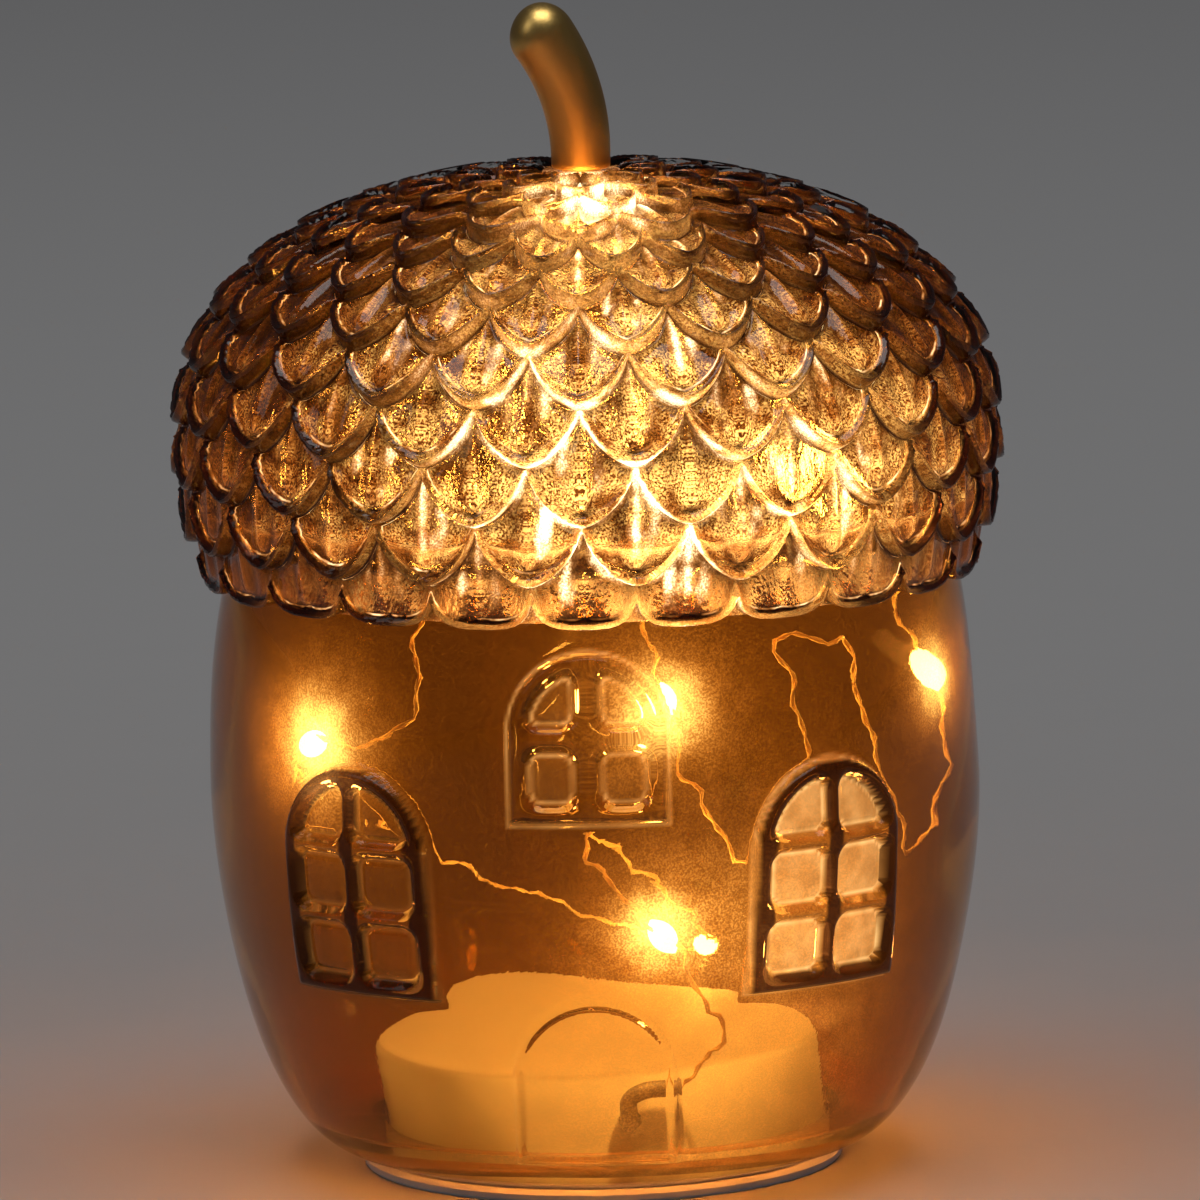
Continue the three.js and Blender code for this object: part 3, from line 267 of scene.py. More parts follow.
def around(radius, turn, height):
    """Places at a turn from the front, towards +X."""
    return np.stack((radius * np.sin(turn), -radius * np.cos(turn), height + 0 * turn), -1)


def bezier(start, first, second, end, steps):
    share = np.linspace(0, 1, steps)[:, None]
    start, first, second, end = (np.array(point, float) for point in (start, first, second, end))
    return ((1 - share) ** 3 * start + 3 * (1 - share) ** 2 * share * first
            + 3 * (1 - share) * share ** 2 * second + share ** 3 * end)


def lengths_along(points):
    return np.r_[0, np.cumsum(np.linalg.norm(np.diff(points, axis=0), axis=1))]


def evenly(points, steps):
    """The same line with its points evenly spaced along it."""
    length = lengths_along(points)
    wanted = np.linspace(0, length[-1], steps)
    return np.stack([np.interp(wanted, length, points[:, axis]) for axis in range(points.shape[1])], -1)


def outward(line):
    """Unit normals of a line of radius and height that runs upwards."""
    run = np.gradient(line, axis=0)
    run /= np.linalg.norm(run, axis=1)[:, None]
    return np.stack((run[:, 1], -run[:, 0]), -1)


def ease(low, high, value):
    share = np.clip((value - low) / (high - low), 0, 1)
    return share * share * (3 - 2 * share)


def hump(value, middle, width):
    """A soft hump that is 1 at its middle."""
    return np.exp(-((value - middle) / width) ** 2)


def round_edge(share):
    """The height of a quarter round, from 0 at its foot to 1 a full radius in."""
    return np.sqrt(1 - (1 - np.clip(share, 0, 1)) ** 2)


def finish_piece(piece, finish, replaced, body="lantern"):
    piece.data.materials.clear()
    piece.data.materials.append(finish)
    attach(piece, body)
    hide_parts(*replaced)
    return piece


# Glass nut

def glow_from_leds(places, glows):
    """How much glow from the LEDs behind is painted on each place in the glass."""
    glow = np.zeros(len(places))
    for middle, reach, strength in glows:
        distance = np.linalg.norm(places - np.array(middle), axis=1)
        glow += strength * hump(distance, 0, reach)
    return glow


def nut_outline(inset=0.0):
    belly = BELLY_RADIUS - inset
    heel = HEEL_RADIUS - inset
    low = bezier((heel, GLASS_FOOT), (heel + HEEL_SWEEP, GLASS_FOOT + HEEL_LIFT),
                 (belly, BELLY_HEIGHT - BELLY_FULLNESS), (belly, BELLY_HEIGHT), 200)
    high = bezier((belly, BELLY_HEIGHT), (belly, BELLY_HEIGHT + SHOULDER_FULLNESS),
                  (LIP_RADIUS + NUT_WALL - inset, LIP_HEIGHT - SHOULDER_FULLNESS / 2),
                  (LIP_RADIUS - inset, LIP_HEIGHT), 120)
    return np.vstack((low, high[1:]))


def nut_radius(height):
    outline = nut_outline()
    return np.interp(height, outline[:, 1], outline[:, 0])


def outside_arch(x, z, half, sill, head):
    """Distance outside an arched panel, less than nothing inside it."""
    spring = head - half
    crown = np.hypot(x, z - spring) - half
    sides = np.maximum(np.abs(x) - half, sill - z)
    return np.where(z > spring, crown, sides)


def outside_pane(x, z, middle, half, foot, head):
    across = np.abs(x - middle) - (half - PANE_CORNER)
    along = np.abs(z - (foot + head) / 2) - ((head - foot) / 2 - PANE_CORNER)
    corner = np.hypot(np.maximum(across, 0), np.maximum(along, 0))
    return corner + np.minimum(np.maximum(across, along), 0) - PANE_CORNER


def window_relief(x, z, width, sill, height, pane_rows, frame_bar, pane_bar, bar_shade,
                  pane_light, rim_light, frame_light):
    """How far a moulded window stands proud, the shade painted on its bars as deeper tint and the light
    painted into its panes.
    """
    half = width / 2
    outside = outside_arch(x, z, half, sill, sill + height)
    in_frame = outside_arch(x, z, half - frame_bar, sill + frame_bar, sill + height - frame_bar)
    pitch = (height - 2 * frame_bar + pane_bar) / pane_rows
    pane_half = (half - frame_bar - pane_bar / 2) / 2
    panes = np.full_like(x, half)
    for row in range(pane_rows):
        foot = sill + frame_bar + row * pitch
        for side in (-1, 1):
            middle = side * (pane_bar / 2 + pane_half)
            pane = outside_pane(x, z, middle, pane_half, foot, foot + pitch - pane_bar)
            panes = np.minimum(panes, np.maximum(pane, in_frame))
    bars = BAR_PROUD * round_edge(np.minimum(-outside, panes) / (pane_bar / 2))
    cushions = PANE_CUSHION * round_edge(-panes / PANE_CORNER)
    fillet = FILLET_HEIGHT * np.exp(-np.maximum(outside, 0) / FILLET_REACH)
    # Painted shade darkens the bars as deeper tint; painted light lies in the panes, along their rims and
    # along the outline
    frame_shade = ease(*PANE_SHADE_EDGE, in_frame)
    post_shade = ease(pane_bar / 2 + POST_SHADE_EDGE[0], pane_bar / 2 + POST_SHADE_EDGE[1], np.abs(x))
    tint_and_shade = bar_shade * np.maximum(frame_shade, post_shade) * ease(*FRAME_SHADE_EDGE, -outside)
    lit = pane_light * ease(0, -PANE_LIGHT_EASE, panes)
    lit = lit + rim_light * hump(panes, *PANE_RIM_LINE) + frame_light * hump(outside, *FRAME_LINE)
    return np.where(outside > 0, fillet, np.maximum(bars, cushions)), tint_and_shade, lit


def door_relief(x, z):
    """A thin arched bead around a door leaf that stands a little proud."""
    half = DOOR_WIDTH / 2 - DOOR_BEAD_RADIUS
    edge = outside_arch(x, z, half, DOOR_SILL, DOOR_SILL + DOOR_HEIGHT - DOOR_BEAD_RADIUS)
    bead = DOOR_BEAD_PROUD * hump(edge, 0, DOOR_BEAD_RADIUS)
    leaf = DOOR_LEAF_PROUD * ease(0, -1.2, edge)
    unshaded = unlit = np.zeros_like(x)
    return bead + leaf, unshaded, unlit


def nut_profile():
    """The closed outline of the nut's wall, with the number of points on its outside and in its hollow."""
    outside = evenly(nut_outline(), 196)
    heel_top = GLASS_FOOT + HEEL_DEPTH
    hollow = nut_outline(NUT_WALL)
    hollow = hollow[(hollow[:, 1] > heel_top + 0.8) & (hollow[:, 0] > OPENING_RADIUS + 0.4)]
    hollow = evenly(hollow, 44)[::-1]
    lip = [(LIP_RADIUS - LIP_ROUNDING, LIP_HEIGHT), (LIP_RADIUS - NUT_WALL + LIP_ROUNDING, LIP_HEIGHT)]
    heel = [(OPENING_RADIUS + 0.15, heel_top + 0.25),
            (OPENING_RADIUS, heel_top - HEEL_ROUNDING),
            (OPENING_RADIUS, GLASS_FOOT + HEEL_ROUNDING),
            (OPENING_RADIUS + HEEL_ROUNDING, GLASS_FOOT),
            (HEEL_RADIUS, GLASS_FOOT)]
    return np.vstack((outside, lip, hollow, heel)), len(outside), len(hollow)


def glass_ripple(turn, height):
    """Slow waves in the nut's wall that die out at its foot and its lip."""
    fade = 6.0
    waves = (0.10 * np.sin(3 * turn + height / 9) + 0.08 * np.sin(5 * turn - height / 6 + 1.3)
             + 0.05 * np.sin(height / 4.3 + 2 * np.cos(2 * turn)))
    return waves * ease(GLASS_FOOT, GLASS_FOOT + fade, height) * ease(LIP_HEIGHT, LIP_HEIGHT - fade, height)


def make_nut():
    """The nut's wall, divided finely over its moulded front and coarsely behind."""
    front = math.radians(62)
    turns = np.r_[np.linspace(-front, front, 226), np.linspace(front, 2 * math.pi - front, 98)[1:]]
    profile, outside_count, hollow_count = nut_profile()
    piece, column, row = flat_sheet("glass_nut_body", len(turns) - 1, len(profile) - 1)
    turn = turns[column]
    radius, height = profile[row, 0], profile[row, 1]
    proud, tint_and_shade, lit = np.zeros((3, len(turn)))
    moulded = [(-SIDE_WINDOW_TURN, window_relief, {**SIDE_WINDOW, **LEFT_PANES}),
               (SIDE_WINDOW_TURN, window_relief, {**SIDE_WINDOW, **RIGHT_PANES}),
               (0, window_relief, {**TOP_WINDOW, **TOP_PANES}), (0, door_relief, {})]
    for degrees, relief, sizes in moulded:
        off_middle = turn - math.radians(degrees)
        facing = np.cos(off_middle) > 0.5
        raised, shaded, lighted = relief(radius * np.sin(off_middle), height, **sizes)
        proud = np.maximum(proud, facing * raised)
        tint_and_shade = np.maximum(tint_and_shade, facing * shaded)
        lit = np.maximum(lit, facing * lighted)
    ripple = glass_ripple(turn, height)
    hollow_ripple = -1.6 * ripple
    normal = np.zeros_like(profile)
    normal[:outside_count] = outward(profile[:outside_count])
    hollow_start = outside_count + 2
    normal[hollow_start:hollow_start + hollow_count, 0] = 1
    on_outside = row < outside_count
    push = np.where(on_outside, proud + ripple, hollow_ripple)
    # Painted shade on the window bars as deeper tint, and painted light in the panes and glow around the LEDs,
    # are kept at the points
    keep_value(piece, "tint_and_painted_shade", on_outside * tint_and_shade)
    keep_value(piece, "sand", 1.0 - on_outside)
    places = around(radius + push * normal[row, 0], turn, height + push * normal[row, 1])
    keep_value(piece, "glow", np.where(on_outside, lit, glow_from_leds(places, NUT_GLOWS)))
    return wrap_sheet(piece, places)


# Glass cap

def cap_meridian():
    """The cap's outer line under its scales, from the rim to the neck."""
    down = np.linspace(1, 0, 60)
    skirt = np.stack((CAP_RADIUS - (CAP_RADIUS - CAP_RIM_RADIUS) * down ** 2,
                      WIDEST_HEIGHT - (WIDEST_HEIGHT - CAP_RIM_HEIGHT) * down), -1)
    rise = np.linspace(0, math.pi / 2, 400)
    dome = np.stack((CAP_RADIUS * np.cos(rise) ** (2 / CROWN_FULLNESS),
                     WIDEST_HEIGHT + CROWN_RISE * np.sin(rise) ** (2 / CROWN_FULLNESS)), -1)
    line = np.vstack((skirt, dome[1:]))
    return evenly(line[line[:, 0] >= NECK_RADIUS], 600)


def scale_count(row, turn):
    """Scales passed on the way round a row, with every other row set half a scale on."""
    return turn / (2 * math.pi) * SCALE_ROWS[row] + (row % 2) / 2


def across_scale(row, turn):
    """Place across a scale: 0 on its middle line, -1 and 1 at its sides."""
    count = scale_count(row, turn)
    return 2 * (count - np.rint(count))


def scallop(row, turn):
    """How far a scale's edge has risen from its tip, with flatter tips in the row at the rim."""
    power = TIP_ROUNDNESS if row else RIM_SQUARENESS
    return 1 - (1 - np.minimum(np.abs(across_scale(row, turn)), 0.98) ** power) ** (1 / power)


def scale_proud(across, level, depth, size, half_width):
    """How far a scale stands proud: a round nose, a beaded edge, flutes and a dimple above the tip."""
    inside = depth / size
    nose = round_edge(inside / NOSE_LENGTH)
    body = SCALE_BODY * (1 - SCALE_THINNING * level)
    flutes = FLUTE_DEPTH * np.cos(2 * math.pi * FLUTE_TURNS * across)
    flutes = flutes * ease(*FLUTE_START, inside) * ease(0.98, 0.7, level)
    bead = BEAD_HEIGHT * hump(inside, *BEAD_LINE)
    sideways = across * half_width / size
    dimple = DIMPLE_DEPTH * hump(sideways, 0, DIMPLE_HALF_WIDTH) * hump(inside, *DIMPLE_LINE)
    return size * (nose * np.maximum(body + flutes + bead - dimple, 0) - SCALE_ROOT_DEPTH)


def chance(row, number, draw):
    """A fixed random share for each scale and draw."""
    spun = np.sin(12.9898 * number + 78.233 * row + 37.719 * draw) * 43758.5453
    return spun - np.floor(spun)


def light_lines(row, turns, level, inside, front):
    """Where light is painted on a scale as glow: unevenly along its edge, and on three flutes that meet below.
    """
    across = across_scale(row, turns)
    number = np.rint(scale_count(row, turns)) % SCALE_ROWS[row]
    uneven = 0.6 + 0.4 * np.sin(5 * across + 2.4 * number + 1.7 * row)
    lines = FAINT_LIGHT + EDGE_LIGHT * front ** 1.5 * hump(inside, *EDGE_LINE) * uneven
    for flute in (-1, 0, 1):
        foot = 0.2 + 0.3 * chance(row, number, flute + 5)
        middle = flute * (0.17 + 0.2 * level)
        length = ease(foot, foot + 0.15, level) * ease(0.98, 0.85, level)
        streak = hump(across, middle, STREAK_WIDTH) * length
        lines = lines + STREAK_LIGHT * chance(row, number, flute) ** 2 * streak
    return lines


def rim_shade(row, turns, front):
    """How much painted shade darkens the thick roll along a scale's edge, less towards the lit front."""
    away = across_scale(row, turns) * np.sin(turns)
    return np.clip(1.0 + 0.8 * away, 0, 1) * (1 - 0.9 * np.minimum(front, 1))


def crown_shade(turns, height):
    """How dark the crown lies, beside and behind the fan of light."""
    fan = np.radians(np.interp(height, FAN_HEIGHTS, FAN_DEGREES))
    from_front = np.abs((turns + math.pi) % (2 * math.pi) - math.pi)
    return ease(fan, fan + FAN_EDGE, from_front)


def tip_shade(row, across, inside):
    """Painted shade above a scale's tip, as deeper tint: an oval, or a wide crescent in the row at the rim."""
    if row:
        return hump(across, 0, TIP_SHADE_WIDTH) * hump(inside, *TIP_SHADE_LINE)
    return ease(0.85, 0.6, np.abs(across)) * hump(inside, *RIM_TIP_SHADE_LINE)


def row_tips(total):
    """Lengths along the cap's outer line at which the rows have their tips, closer towards the top."""
    top_row = len(SCALE_ROWS) - 1
    shares = np.array([1 - (1 - TOP_ROW_SHARE) * row / top_row for row in range(top_row + 1)])
    shares[0] = RIM_ROW_SHARE
    return np.r_[0, np.cumsum(shares / shares.sum() * total)]


def scale_rings(turns):
    """Rings over the rows of scales, from the rim up.

    Each ring holds radius, height, tint with painted shade, painted glow, distance from the scale's edge and
    painted shade of the roll.
    """
    line = cap_meridian()
    length = lengths_along(line)
    normal = outward(line)
    tips = row_tips(length[-1])
    top_row = len(SCALE_ROWS) - 1
    rings = []
    for row, scales in enumerate(SCALE_ROWS):
        pitch = tips[row + 1] - tips[row]
        size = pitch / SCALE_PITCH
        across = across_scale(row, turns)
        lower = tips[row] + SCALE_OVERLAP * pitch * scallop(row, turns)
        upper = np.full_like(turns, length[-1])
        if row < top_row:
            upper = tips[row + 1] + SCALE_OVERLAP * pitch * scallop(row + 1, turns)
        half_width = math.pi * np.interp(tips[row] + pitch / 2, length, line[:, 0]) / scales
        for level in SCALE_LEVELS:
            depth = level * (upper - lower)
            from_edge = depth / size
            place = lower + depth
            proud = scale_proud(across, level, depth, size, half_width)
            radius, height = (np.interp(place, length, line[:, axis])
                              + proud * np.interp(place, length, normal[:, axis]) for axis in (0, 1))
            tip = tip_shade(row, across, from_edge)
            # Painted shade given as deeper tint: in the valleys between scales, in a spot above each tip, and
            # on the crown beside the fan of light
            tint_and_shade = 1 - np.clip((proud / size + SCALE_ROOT_DEPTH) / VALLEY_SHADE_DEPTH, 0, 1)
            tint_and_shade = np.maximum(tint_and_shade, tip)
            tint_and_shade = tint_and_shade + CROWN_SHADE_DEPTH * crown_shade(turns, height) * (1 - tint_and_shade)
            places = around(radius, turns, height)
            front = glow_from_leds(places, CAP_FRONT)
            glow = light_lines(row, turns, level, from_edge, front) * glow_from_leds(places, CAP_GLOWS)
            rings.append((radius, height, tint_and_shade, glow * (1 - tip), from_edge, rim_shade(row, turns, front)))
    return rings


def cap_inside():
    """Radius and height down the inside of the cap, from the neck to the rim."""
    inside_rise = CROWN_RISE - CAP_WALL
    inside_radius = CAP_RADIUS - CAP_WALL
    seat = LIP_HEIGHT + SEAT_GAP
    ledge_radius = LIP_RADIUS - NUT_WALL
    line = [(NECK_RADIUS, NECK_TOP - 0.35), (NECK_RADIUS - 0.3, NECK_TOP), (BORE_RADIUS, NECK_TOP),
            (BORE_RADIUS, WIDEST_HEIGHT + inside_rise + 0.3)]
    for turn in np.linspace(0, math.pi / 2, 25)[1:]:
        line.append((max(BORE_RADIUS + 0.3, inside_radius * math.sin(turn) ** (2 / CROWN_FULLNESS)),
                     WIDEST_HEIGHT + inside_rise * abs(math.cos(turn)) ** (2 / CROWN_FULLNESS)))
    ledge_top = seat + CAP_LEDGE
    line += [(inside_radius, ledge_top + 2 * CAP_LEDGE)]
    for share in np.linspace(0, 1, 7):
        line.append((inside_radius - (inside_radius - ledge_radius) * ease(0, 1, share),
                     ledge_top + (1 - share) * CAP_LEDGE))
    rim = CAP_RIM_HEIGHT + 0.6
    line += [(ledge_radius, seat), (LIP_RADIUS + CAP_SEAT_CLEARANCE, seat),
             (nut_radius(rim) + CAP_SEAT_CLEARANCE, rim)]
    return line


def make_cap():
    """The cap's wall, divided more finely towards the sides and the middle line of each scale."""
    half_scale = math.pi / max(SCALE_ROWS)
    within = half_scale * (1 - np.cos(np.linspace(0, math.pi, 11)[:-1])) / 2
    steps = [step * half_scale + within for step in range(2 * max(SCALE_ROWS))]
    turns = np.r_[np.concatenate(steps), 2 * math.pi]
    rings = scale_rings(turns)
    outside_count = len(rings)
    for radius, height in cap_inside():
        radius, height, tint_and_shade, none = (np.full_like(turns, value) for value in (radius, height, 0.1, 0))
        # Painted glow from the LEDs on the inside of the cap, dimmed beside the fan of light
        glow = glow_from_leds(around(radius, turns, height), CAP_FILL)
        glow = glow * ease(LIP_HEIGHT, LIP_HEIGHT + 2 * CAP_LEDGE, height)
        glow = glow * (1 - CROWN_DIMMING * crown_shade(turns, height))
        rings.append((radius, height, tint_and_shade, glow, none, none))
    rings.append(rings[0])
    rings = np.array(rings)
    piece, column, row = flat_sheet("glass_cap_of_scales", len(turns) - 1, len(rings) - 1)
    # Tint with painted shade, painted glow, and the painted shade and painted light lines of the rolls, kept
    # at the points
    keep_value(piece, "tint_and_painted_shade", rings[row, 2, column])
    keep_value(piece, "sand", np.where((row >= outside_count) & (row < len(rings) - 1), 1.0, 0.1))
    places = around(rings[row, 0, column], turns[column], rings[row, 1, column])
    keep_value(piece, "glow", rings[row, 3, column])
    keep_value(piece, "from_edge", rings[row, 4, column])
    keep_value(piece, "rim_shade", rings[row, 5, column])
    keep_value(piece, "rim_light", rings[row, 5, column] * glow_from_leds(places, CAP_SIDES))
    return wrap_sheet(piece, places)


# Stem

def make_stem():
    """A round bar turned about its axis and bent over towards -X."""
    seat = NECK_TOP + SEAT_GAP
    barrel_top = seat + STEM_LENGTH - STEM_TIP_RADIUS
    foot = [(0, seat - SPIGOT_LENGTH), (SPIGOT_RADIUS, seat - SPIGOT_LENGTH), (SPIGOT_RADIUS, seat),
            (STEM_ROOT_RADIUS - 0.4, seat), (STEM_ROOT_RADIUS - 0.1, seat + 0.1)]
    barrel = np.linspace((STEM_ROOT_RADIUS, seat + 0.4), (STEM_TIP_RADIUS, barrel_top), 40)
    tip = [(STEM_TIP_RADIUS * math.cos(turn), barrel_top + STEM_TIP_RADIUS * math.sin(turn))
           for turn in np.linspace(0, math.pi / 2, 14)[1:]]
    outline = np.vstack((foot, barrel, tip))
    bpy.ops.object.select_all(action="DESELECT")
    bpy.ops.mesh.primitive_circle_add(vertices=len(outline), radius=1)
    piece = bpy.context.object
    piece.name = "gold_stem"
    for point, (radius, height) in zip(piece.data.vertices, outline * MM):
        point.co = (radius, 0, height)
    bpy.ops.object.mode_set(mode="EDIT")
    bpy.ops.mesh.select_all(action="SELECT")
    bpy.ops.mesh.spin(steps=64, angle=2 * math.pi, center=(0, 0, 0), axis=(0, 0, 1))
    bpy.ops.object.mode_set(mode="OBJECT")
    bend_start = (seat + STEM_STRAIGHT) * MM
    bend_radius = STEM_BEND_RADIUS * MM
    for point in piece.data.vertices:
        turn = max(0, point.co.z - bend_start) / bend_radius
        arm = bend_radius + point.co.x
        if turn:
            point.co = (arm * math.cos(turn) - bend_radius, point.co.y, bend_start + arm * math.sin(turn))
    close_up(piece)
    bpy.ops.object.shade_smooth_by_angle(angle=math.radians(50))
    return piece


# LED string

SLEEVE_ROUTE = [
    (4, -25.4, 10.4),
    (4, -29.6, 10.4),
    (4, -30.7, 11.5),
    (4, -30.7, 13.7),
    (5.8, -30.7, 14.8),
    (9.4, -29.6, 14.8),
]

# Each stop is a turn from the front in degrees, a share of the hollow's radius and a share of its height
WIRE_STOPS = [
    (23.3, 0.898, 0.174),
    (10.7, 0.914, 0.302),
    (2.3, 0.803, 0.345),
    (-1.3, 0.546, 0.379),
    (154.0, 0.684, 0.182),
    (-164.1, 0.643, 0.229),
    (-133.8, 0.711, 0.301),
    (-99.5, 0.766, 0.380),
    (-69.8, 0.850, 0.427),
    (-50.4, 0.928, 0.478),
    (-36.0, 0.889, 0.484),
    (-32.2, 0.860, 0.535),
    (-36.3, 0.787, 0.592),
    (-99.5, 0.557, 0.680),
    (-137.3, 0.796, 0.641),
    (-169.7, 0.729, 0.578),
    (150.3, 0.354, 0.601),
    (20.6, 0.416, 0.569),
    (18.4, 0.605, 0.511),
    (20.3, 0.828, 0.421),
    (28.4, 0.861, 0.366),
    (40.5, 0.886, 0.453),
    (36.0, 0.886, 0.577),
    (54.1, 0.879, 0.549),
    (56.5, 0.877, 0.460),
    (73.8, 0.911, 0.330),
    (73.6, 0.968, 0.399),
    (78.2, 0.934, 0.507),
    (69.8, 0.897, 0.617),
    (52.4, 0.900, 0.692),
    (47.5, 0.745, 0.775),
    (75.5, 0.733, 0.815),
    (70.6, 0.897, 0.779),
    (47.0, 0.907, 0.744),
    (30.1, 0.820, 0.720),
    (58.4, 0.349, 0.692),
    (121.0, 0.267, 0.708),
    (158.5, 0.098, 0.742),
    (-63.4, 0.307, 0.815),
    (-36.9, 0.346, 0.894),
    (7.9, 0.477, 0.958),
]


def hollow_radius(height):
    if height < LIP_HEIGHT:
        return nut_radius(height) - NUT_WALL
    rise = max(0, height - WIDEST_HEIGHT) / (CROWN_RISE - CAP_WALL)
    dome = (CAP_RADIUS - CAP_WALL) * (1 - rise ** CROWN_FULLNESS) ** (1 / CROWN_FULLNESS)
    return min(LIP_RADIUS - NUT_WALL, dome)


def wire_route():
    sleeve_end = SLEEVE_ROUTE[-1]
    route = [(sleeve_end[0] + 0.6, sleeve_end[1], sleeve_end[2])]
    for degrees, reach, rise in WIRE_STOPS:
        height = rise * (WIDEST_HEIGHT + CROWN_RISE - CAP_WALL)
        turn = math.radians(degrees)
        radius = reach * hollow_radius(height)
        route.append((radius * math.sin(turn), -radius * math.cos(turn), height))
    return np.array(route)


def smooth_run(stops, steps):
    """Points of a smooth curve through the stops."""
    ends = np.vstack((2 * stops[0] - stops[1], stops, 2 * stops[-1] - stops[-2]))
    share = np.linspace(0, 1, steps, endpoint=False)[:, None]
    run = []
    for before, start, end, after in zip(ends, ends[1:], ends[2:], ends[3:]):
        gaps = (start - before, end - start, after - end)
        first, middle, last = (math.sqrt(np.linalg.norm(gap)) for gap in gaps)
        straight = (end - start) / middle
        leave = middle * ((start - before) / first - (end - before) / (first + middle) + straight)
        arrive = middle * (straight - (after - start) / (middle + last) + (after - end) / last)
        run.append(start + leave * share + (3 * (end - start) - 2 * leave - arrive) * share ** 2
                   + (2 * (start - end) + leave + arrive) * share ** 3)
    return np.vstack(run + [stops[-1:]])


def side_directions(run):
    """Two unit directions square to a line and to each other, carried along it without a twist."""
    along = np.gradient(run, axis=0)
    along /= np.linalg.norm(along, axis=1)[:, None]
    side = np.cross(along[0], (0, 0, 1))
    first = []
    for direction in along:
        side = side - direction * side.dot(direction)
        side = side / np.linalg.norm(side)
        first.append(side)
    first = np.array(first)
    return first, np.cross(along, first)


def tube(name, runs, diameter, sides):
    """Round strands along lines given in millimetres, made into one mesh."""
    line = bpy.data.curves.new(name, "CURVE")
    line.dimensions = "3D"
    line.bevel_depth = diameter / 2 * MM
    line.bevel_resolution = sides // 4 - 1
    line.use_fill_caps = True
    for run in runs:
        strand = line.splines.new("POLY")
        strand.points.add(len(run) - 1)
        strand.points.foreach_set("co", np.c_[run * MM, np.ones(len(run))].ravel())
    piece = bpy.data.objects.new(name, line)
    bpy.context.scene.collection.objects.link(piece)
    only(piece)
    bpy.ops.object.convert(target="MESH")
    bpy.ops.object.shade_smooth()
    return piece


def make_string():
    """The enamelled pair: two strands twisted round each other and crinkled from being bundled."""
    run = evenly(smooth_run(wire_route(), 24), 560)
    length = lengths_along(run)
    first, second = side_directions(run)
    straight_start = ease(0, STRAND_CLEAR_OF_SLEEVE, length)
    kinks = np.random.default_rng(11)
    for waviness, reach in STRAND_KINKS:
        for side in (first, second):
            wander = np.cumsum(kinks.uniform(0.6, 1.4, len(run)))
            wave = np.sin(wander * 2 * math.pi * length[-1] / len(run) / waviness + kinks.uniform(0, 6))
            run = run + side * (reach * wave * straight_start)[:, None]
    turn = (2 * math.pi * length / STRAND_TWIST)[:, None]
    apart = STRAND_DIAMETER * 0.55 * (first * np.cos(turn) + second * np.sin(turn))
    return tube("led_string_wire", [run + apart, run - apart], STRAND_DIAMETER, 8)


def make_drop(number, run):
    """A drop of resin drawn out along the wire at both ends."""
    low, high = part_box(f"led_bead_{number}")
    middle = (low + high) / 2
    nearest = np.argmin(np.linalg.norm(run * MM - np.array(middle), axis=1))
    nearest = min(max(nearest, 1), len(run) - 2)
    along = Vector(run[nearest + 1] - run[nearest - 1]).normalized()
    bpy.ops.object.select_all(action="DESELECT")
    bpy.ops.mesh.primitive_uv_sphere_add(segments=24, ring_count=18, radius=1)
    piece = bpy.context.object
    piece.name = f"led_drop_{number}"
    for point in piece.data.vertices:
        fullness = max(0, 1 - point.co.z ** 2) ** DROP_FULLNESS
        point.co.x *= fullness * DROP_RADIUS * MM
        point.co.y *= fullness * DROP_RADIUS * MM
        point.co.z *= DROP_HALF_LENGTH * MM
    turned = Vector((0, 0, 1)).rotation_difference(along).to_matrix().to_4x4()
    piece.data.transform(Matrix.Translation(middle) @ turned)
    only(piece)
    bpy.ops.object.shade_smooth()
    return piece


# Pieces of the base

# Each node's piece: its name, the rounding of its edges in millimetres, its slot and its body
BASE_PIECES = {
    "base_plate": ("base_with_flange", 0.3, "white_plastic", "lantern"),
    "drum_cover": ("battery_drum", 0.3, "white_plastic", "lantern"),
    "battery_door": ("battery_door_leaf", 0.25, "white_plastic", "door"),
    "switch_knob": ("slide_knob", 0.2, "black_plastic", "knob"),
    "cell_1": ("battery_cell_1", 0.3, "cell_jacket", "lantern"),
    "cell_2": ("battery_cell_2", 0.3, "cell_jacket", "lantern"),
    "switch_housing": ("slide_switch_case", 0.15, "nickel", "lantern"),
    "timer_chip": ("timer_chip_body", 0.1, "black_plastic", "lantern"),
    "resistor": ("resistor_body", 0.1, "black_plastic", "lantern"),
    "red_lead": ("red_lead_wire", 0, "red_jacket", "lantern"),
    "black_lead": ("black_lead_wire", 0, "black_jacket", "lantern"),
    "string_lead": ("string_lead_wire", 0, "copper_wire", "lantern"),
}
SHARP_FROM = math.radians(40)


def dressed(node, name, rounding):
    """A copy of a piece of the frame with its edges rounded."""
    piece = bpy.data.objects.new(name, nodes[node].data.copy())
    bpy.context.scene.collection.objects.link(piece)
    only(piece)
    bpy.ops.object.mode_set(mode="EDIT")
    bpy.ops.mesh.select_all(action="SELECT")
    bpy.ops.mesh.remove_doubles(threshold=1e-6)
    bpy.ops.mesh.dissolve_limited(angle_limit=math.radians(1))
    bpy.ops.object.mode_set(mode="OBJECT")
    if rounding:
        edges = piece.modifiers.new("rounded edges", "BEVEL")
        edges.width = rounding * MM
        edges.segments = 3
        edges.limit_method = "ANGLE"
        edges.angle_limit = SHARP_FROM
        bpy.ops.object.modifier_apply(modifier=edges.name)
    bpy.ops.object.shade_smooth_by_angle(angle=SHARP_FROM)
    return piece


# Node helpers

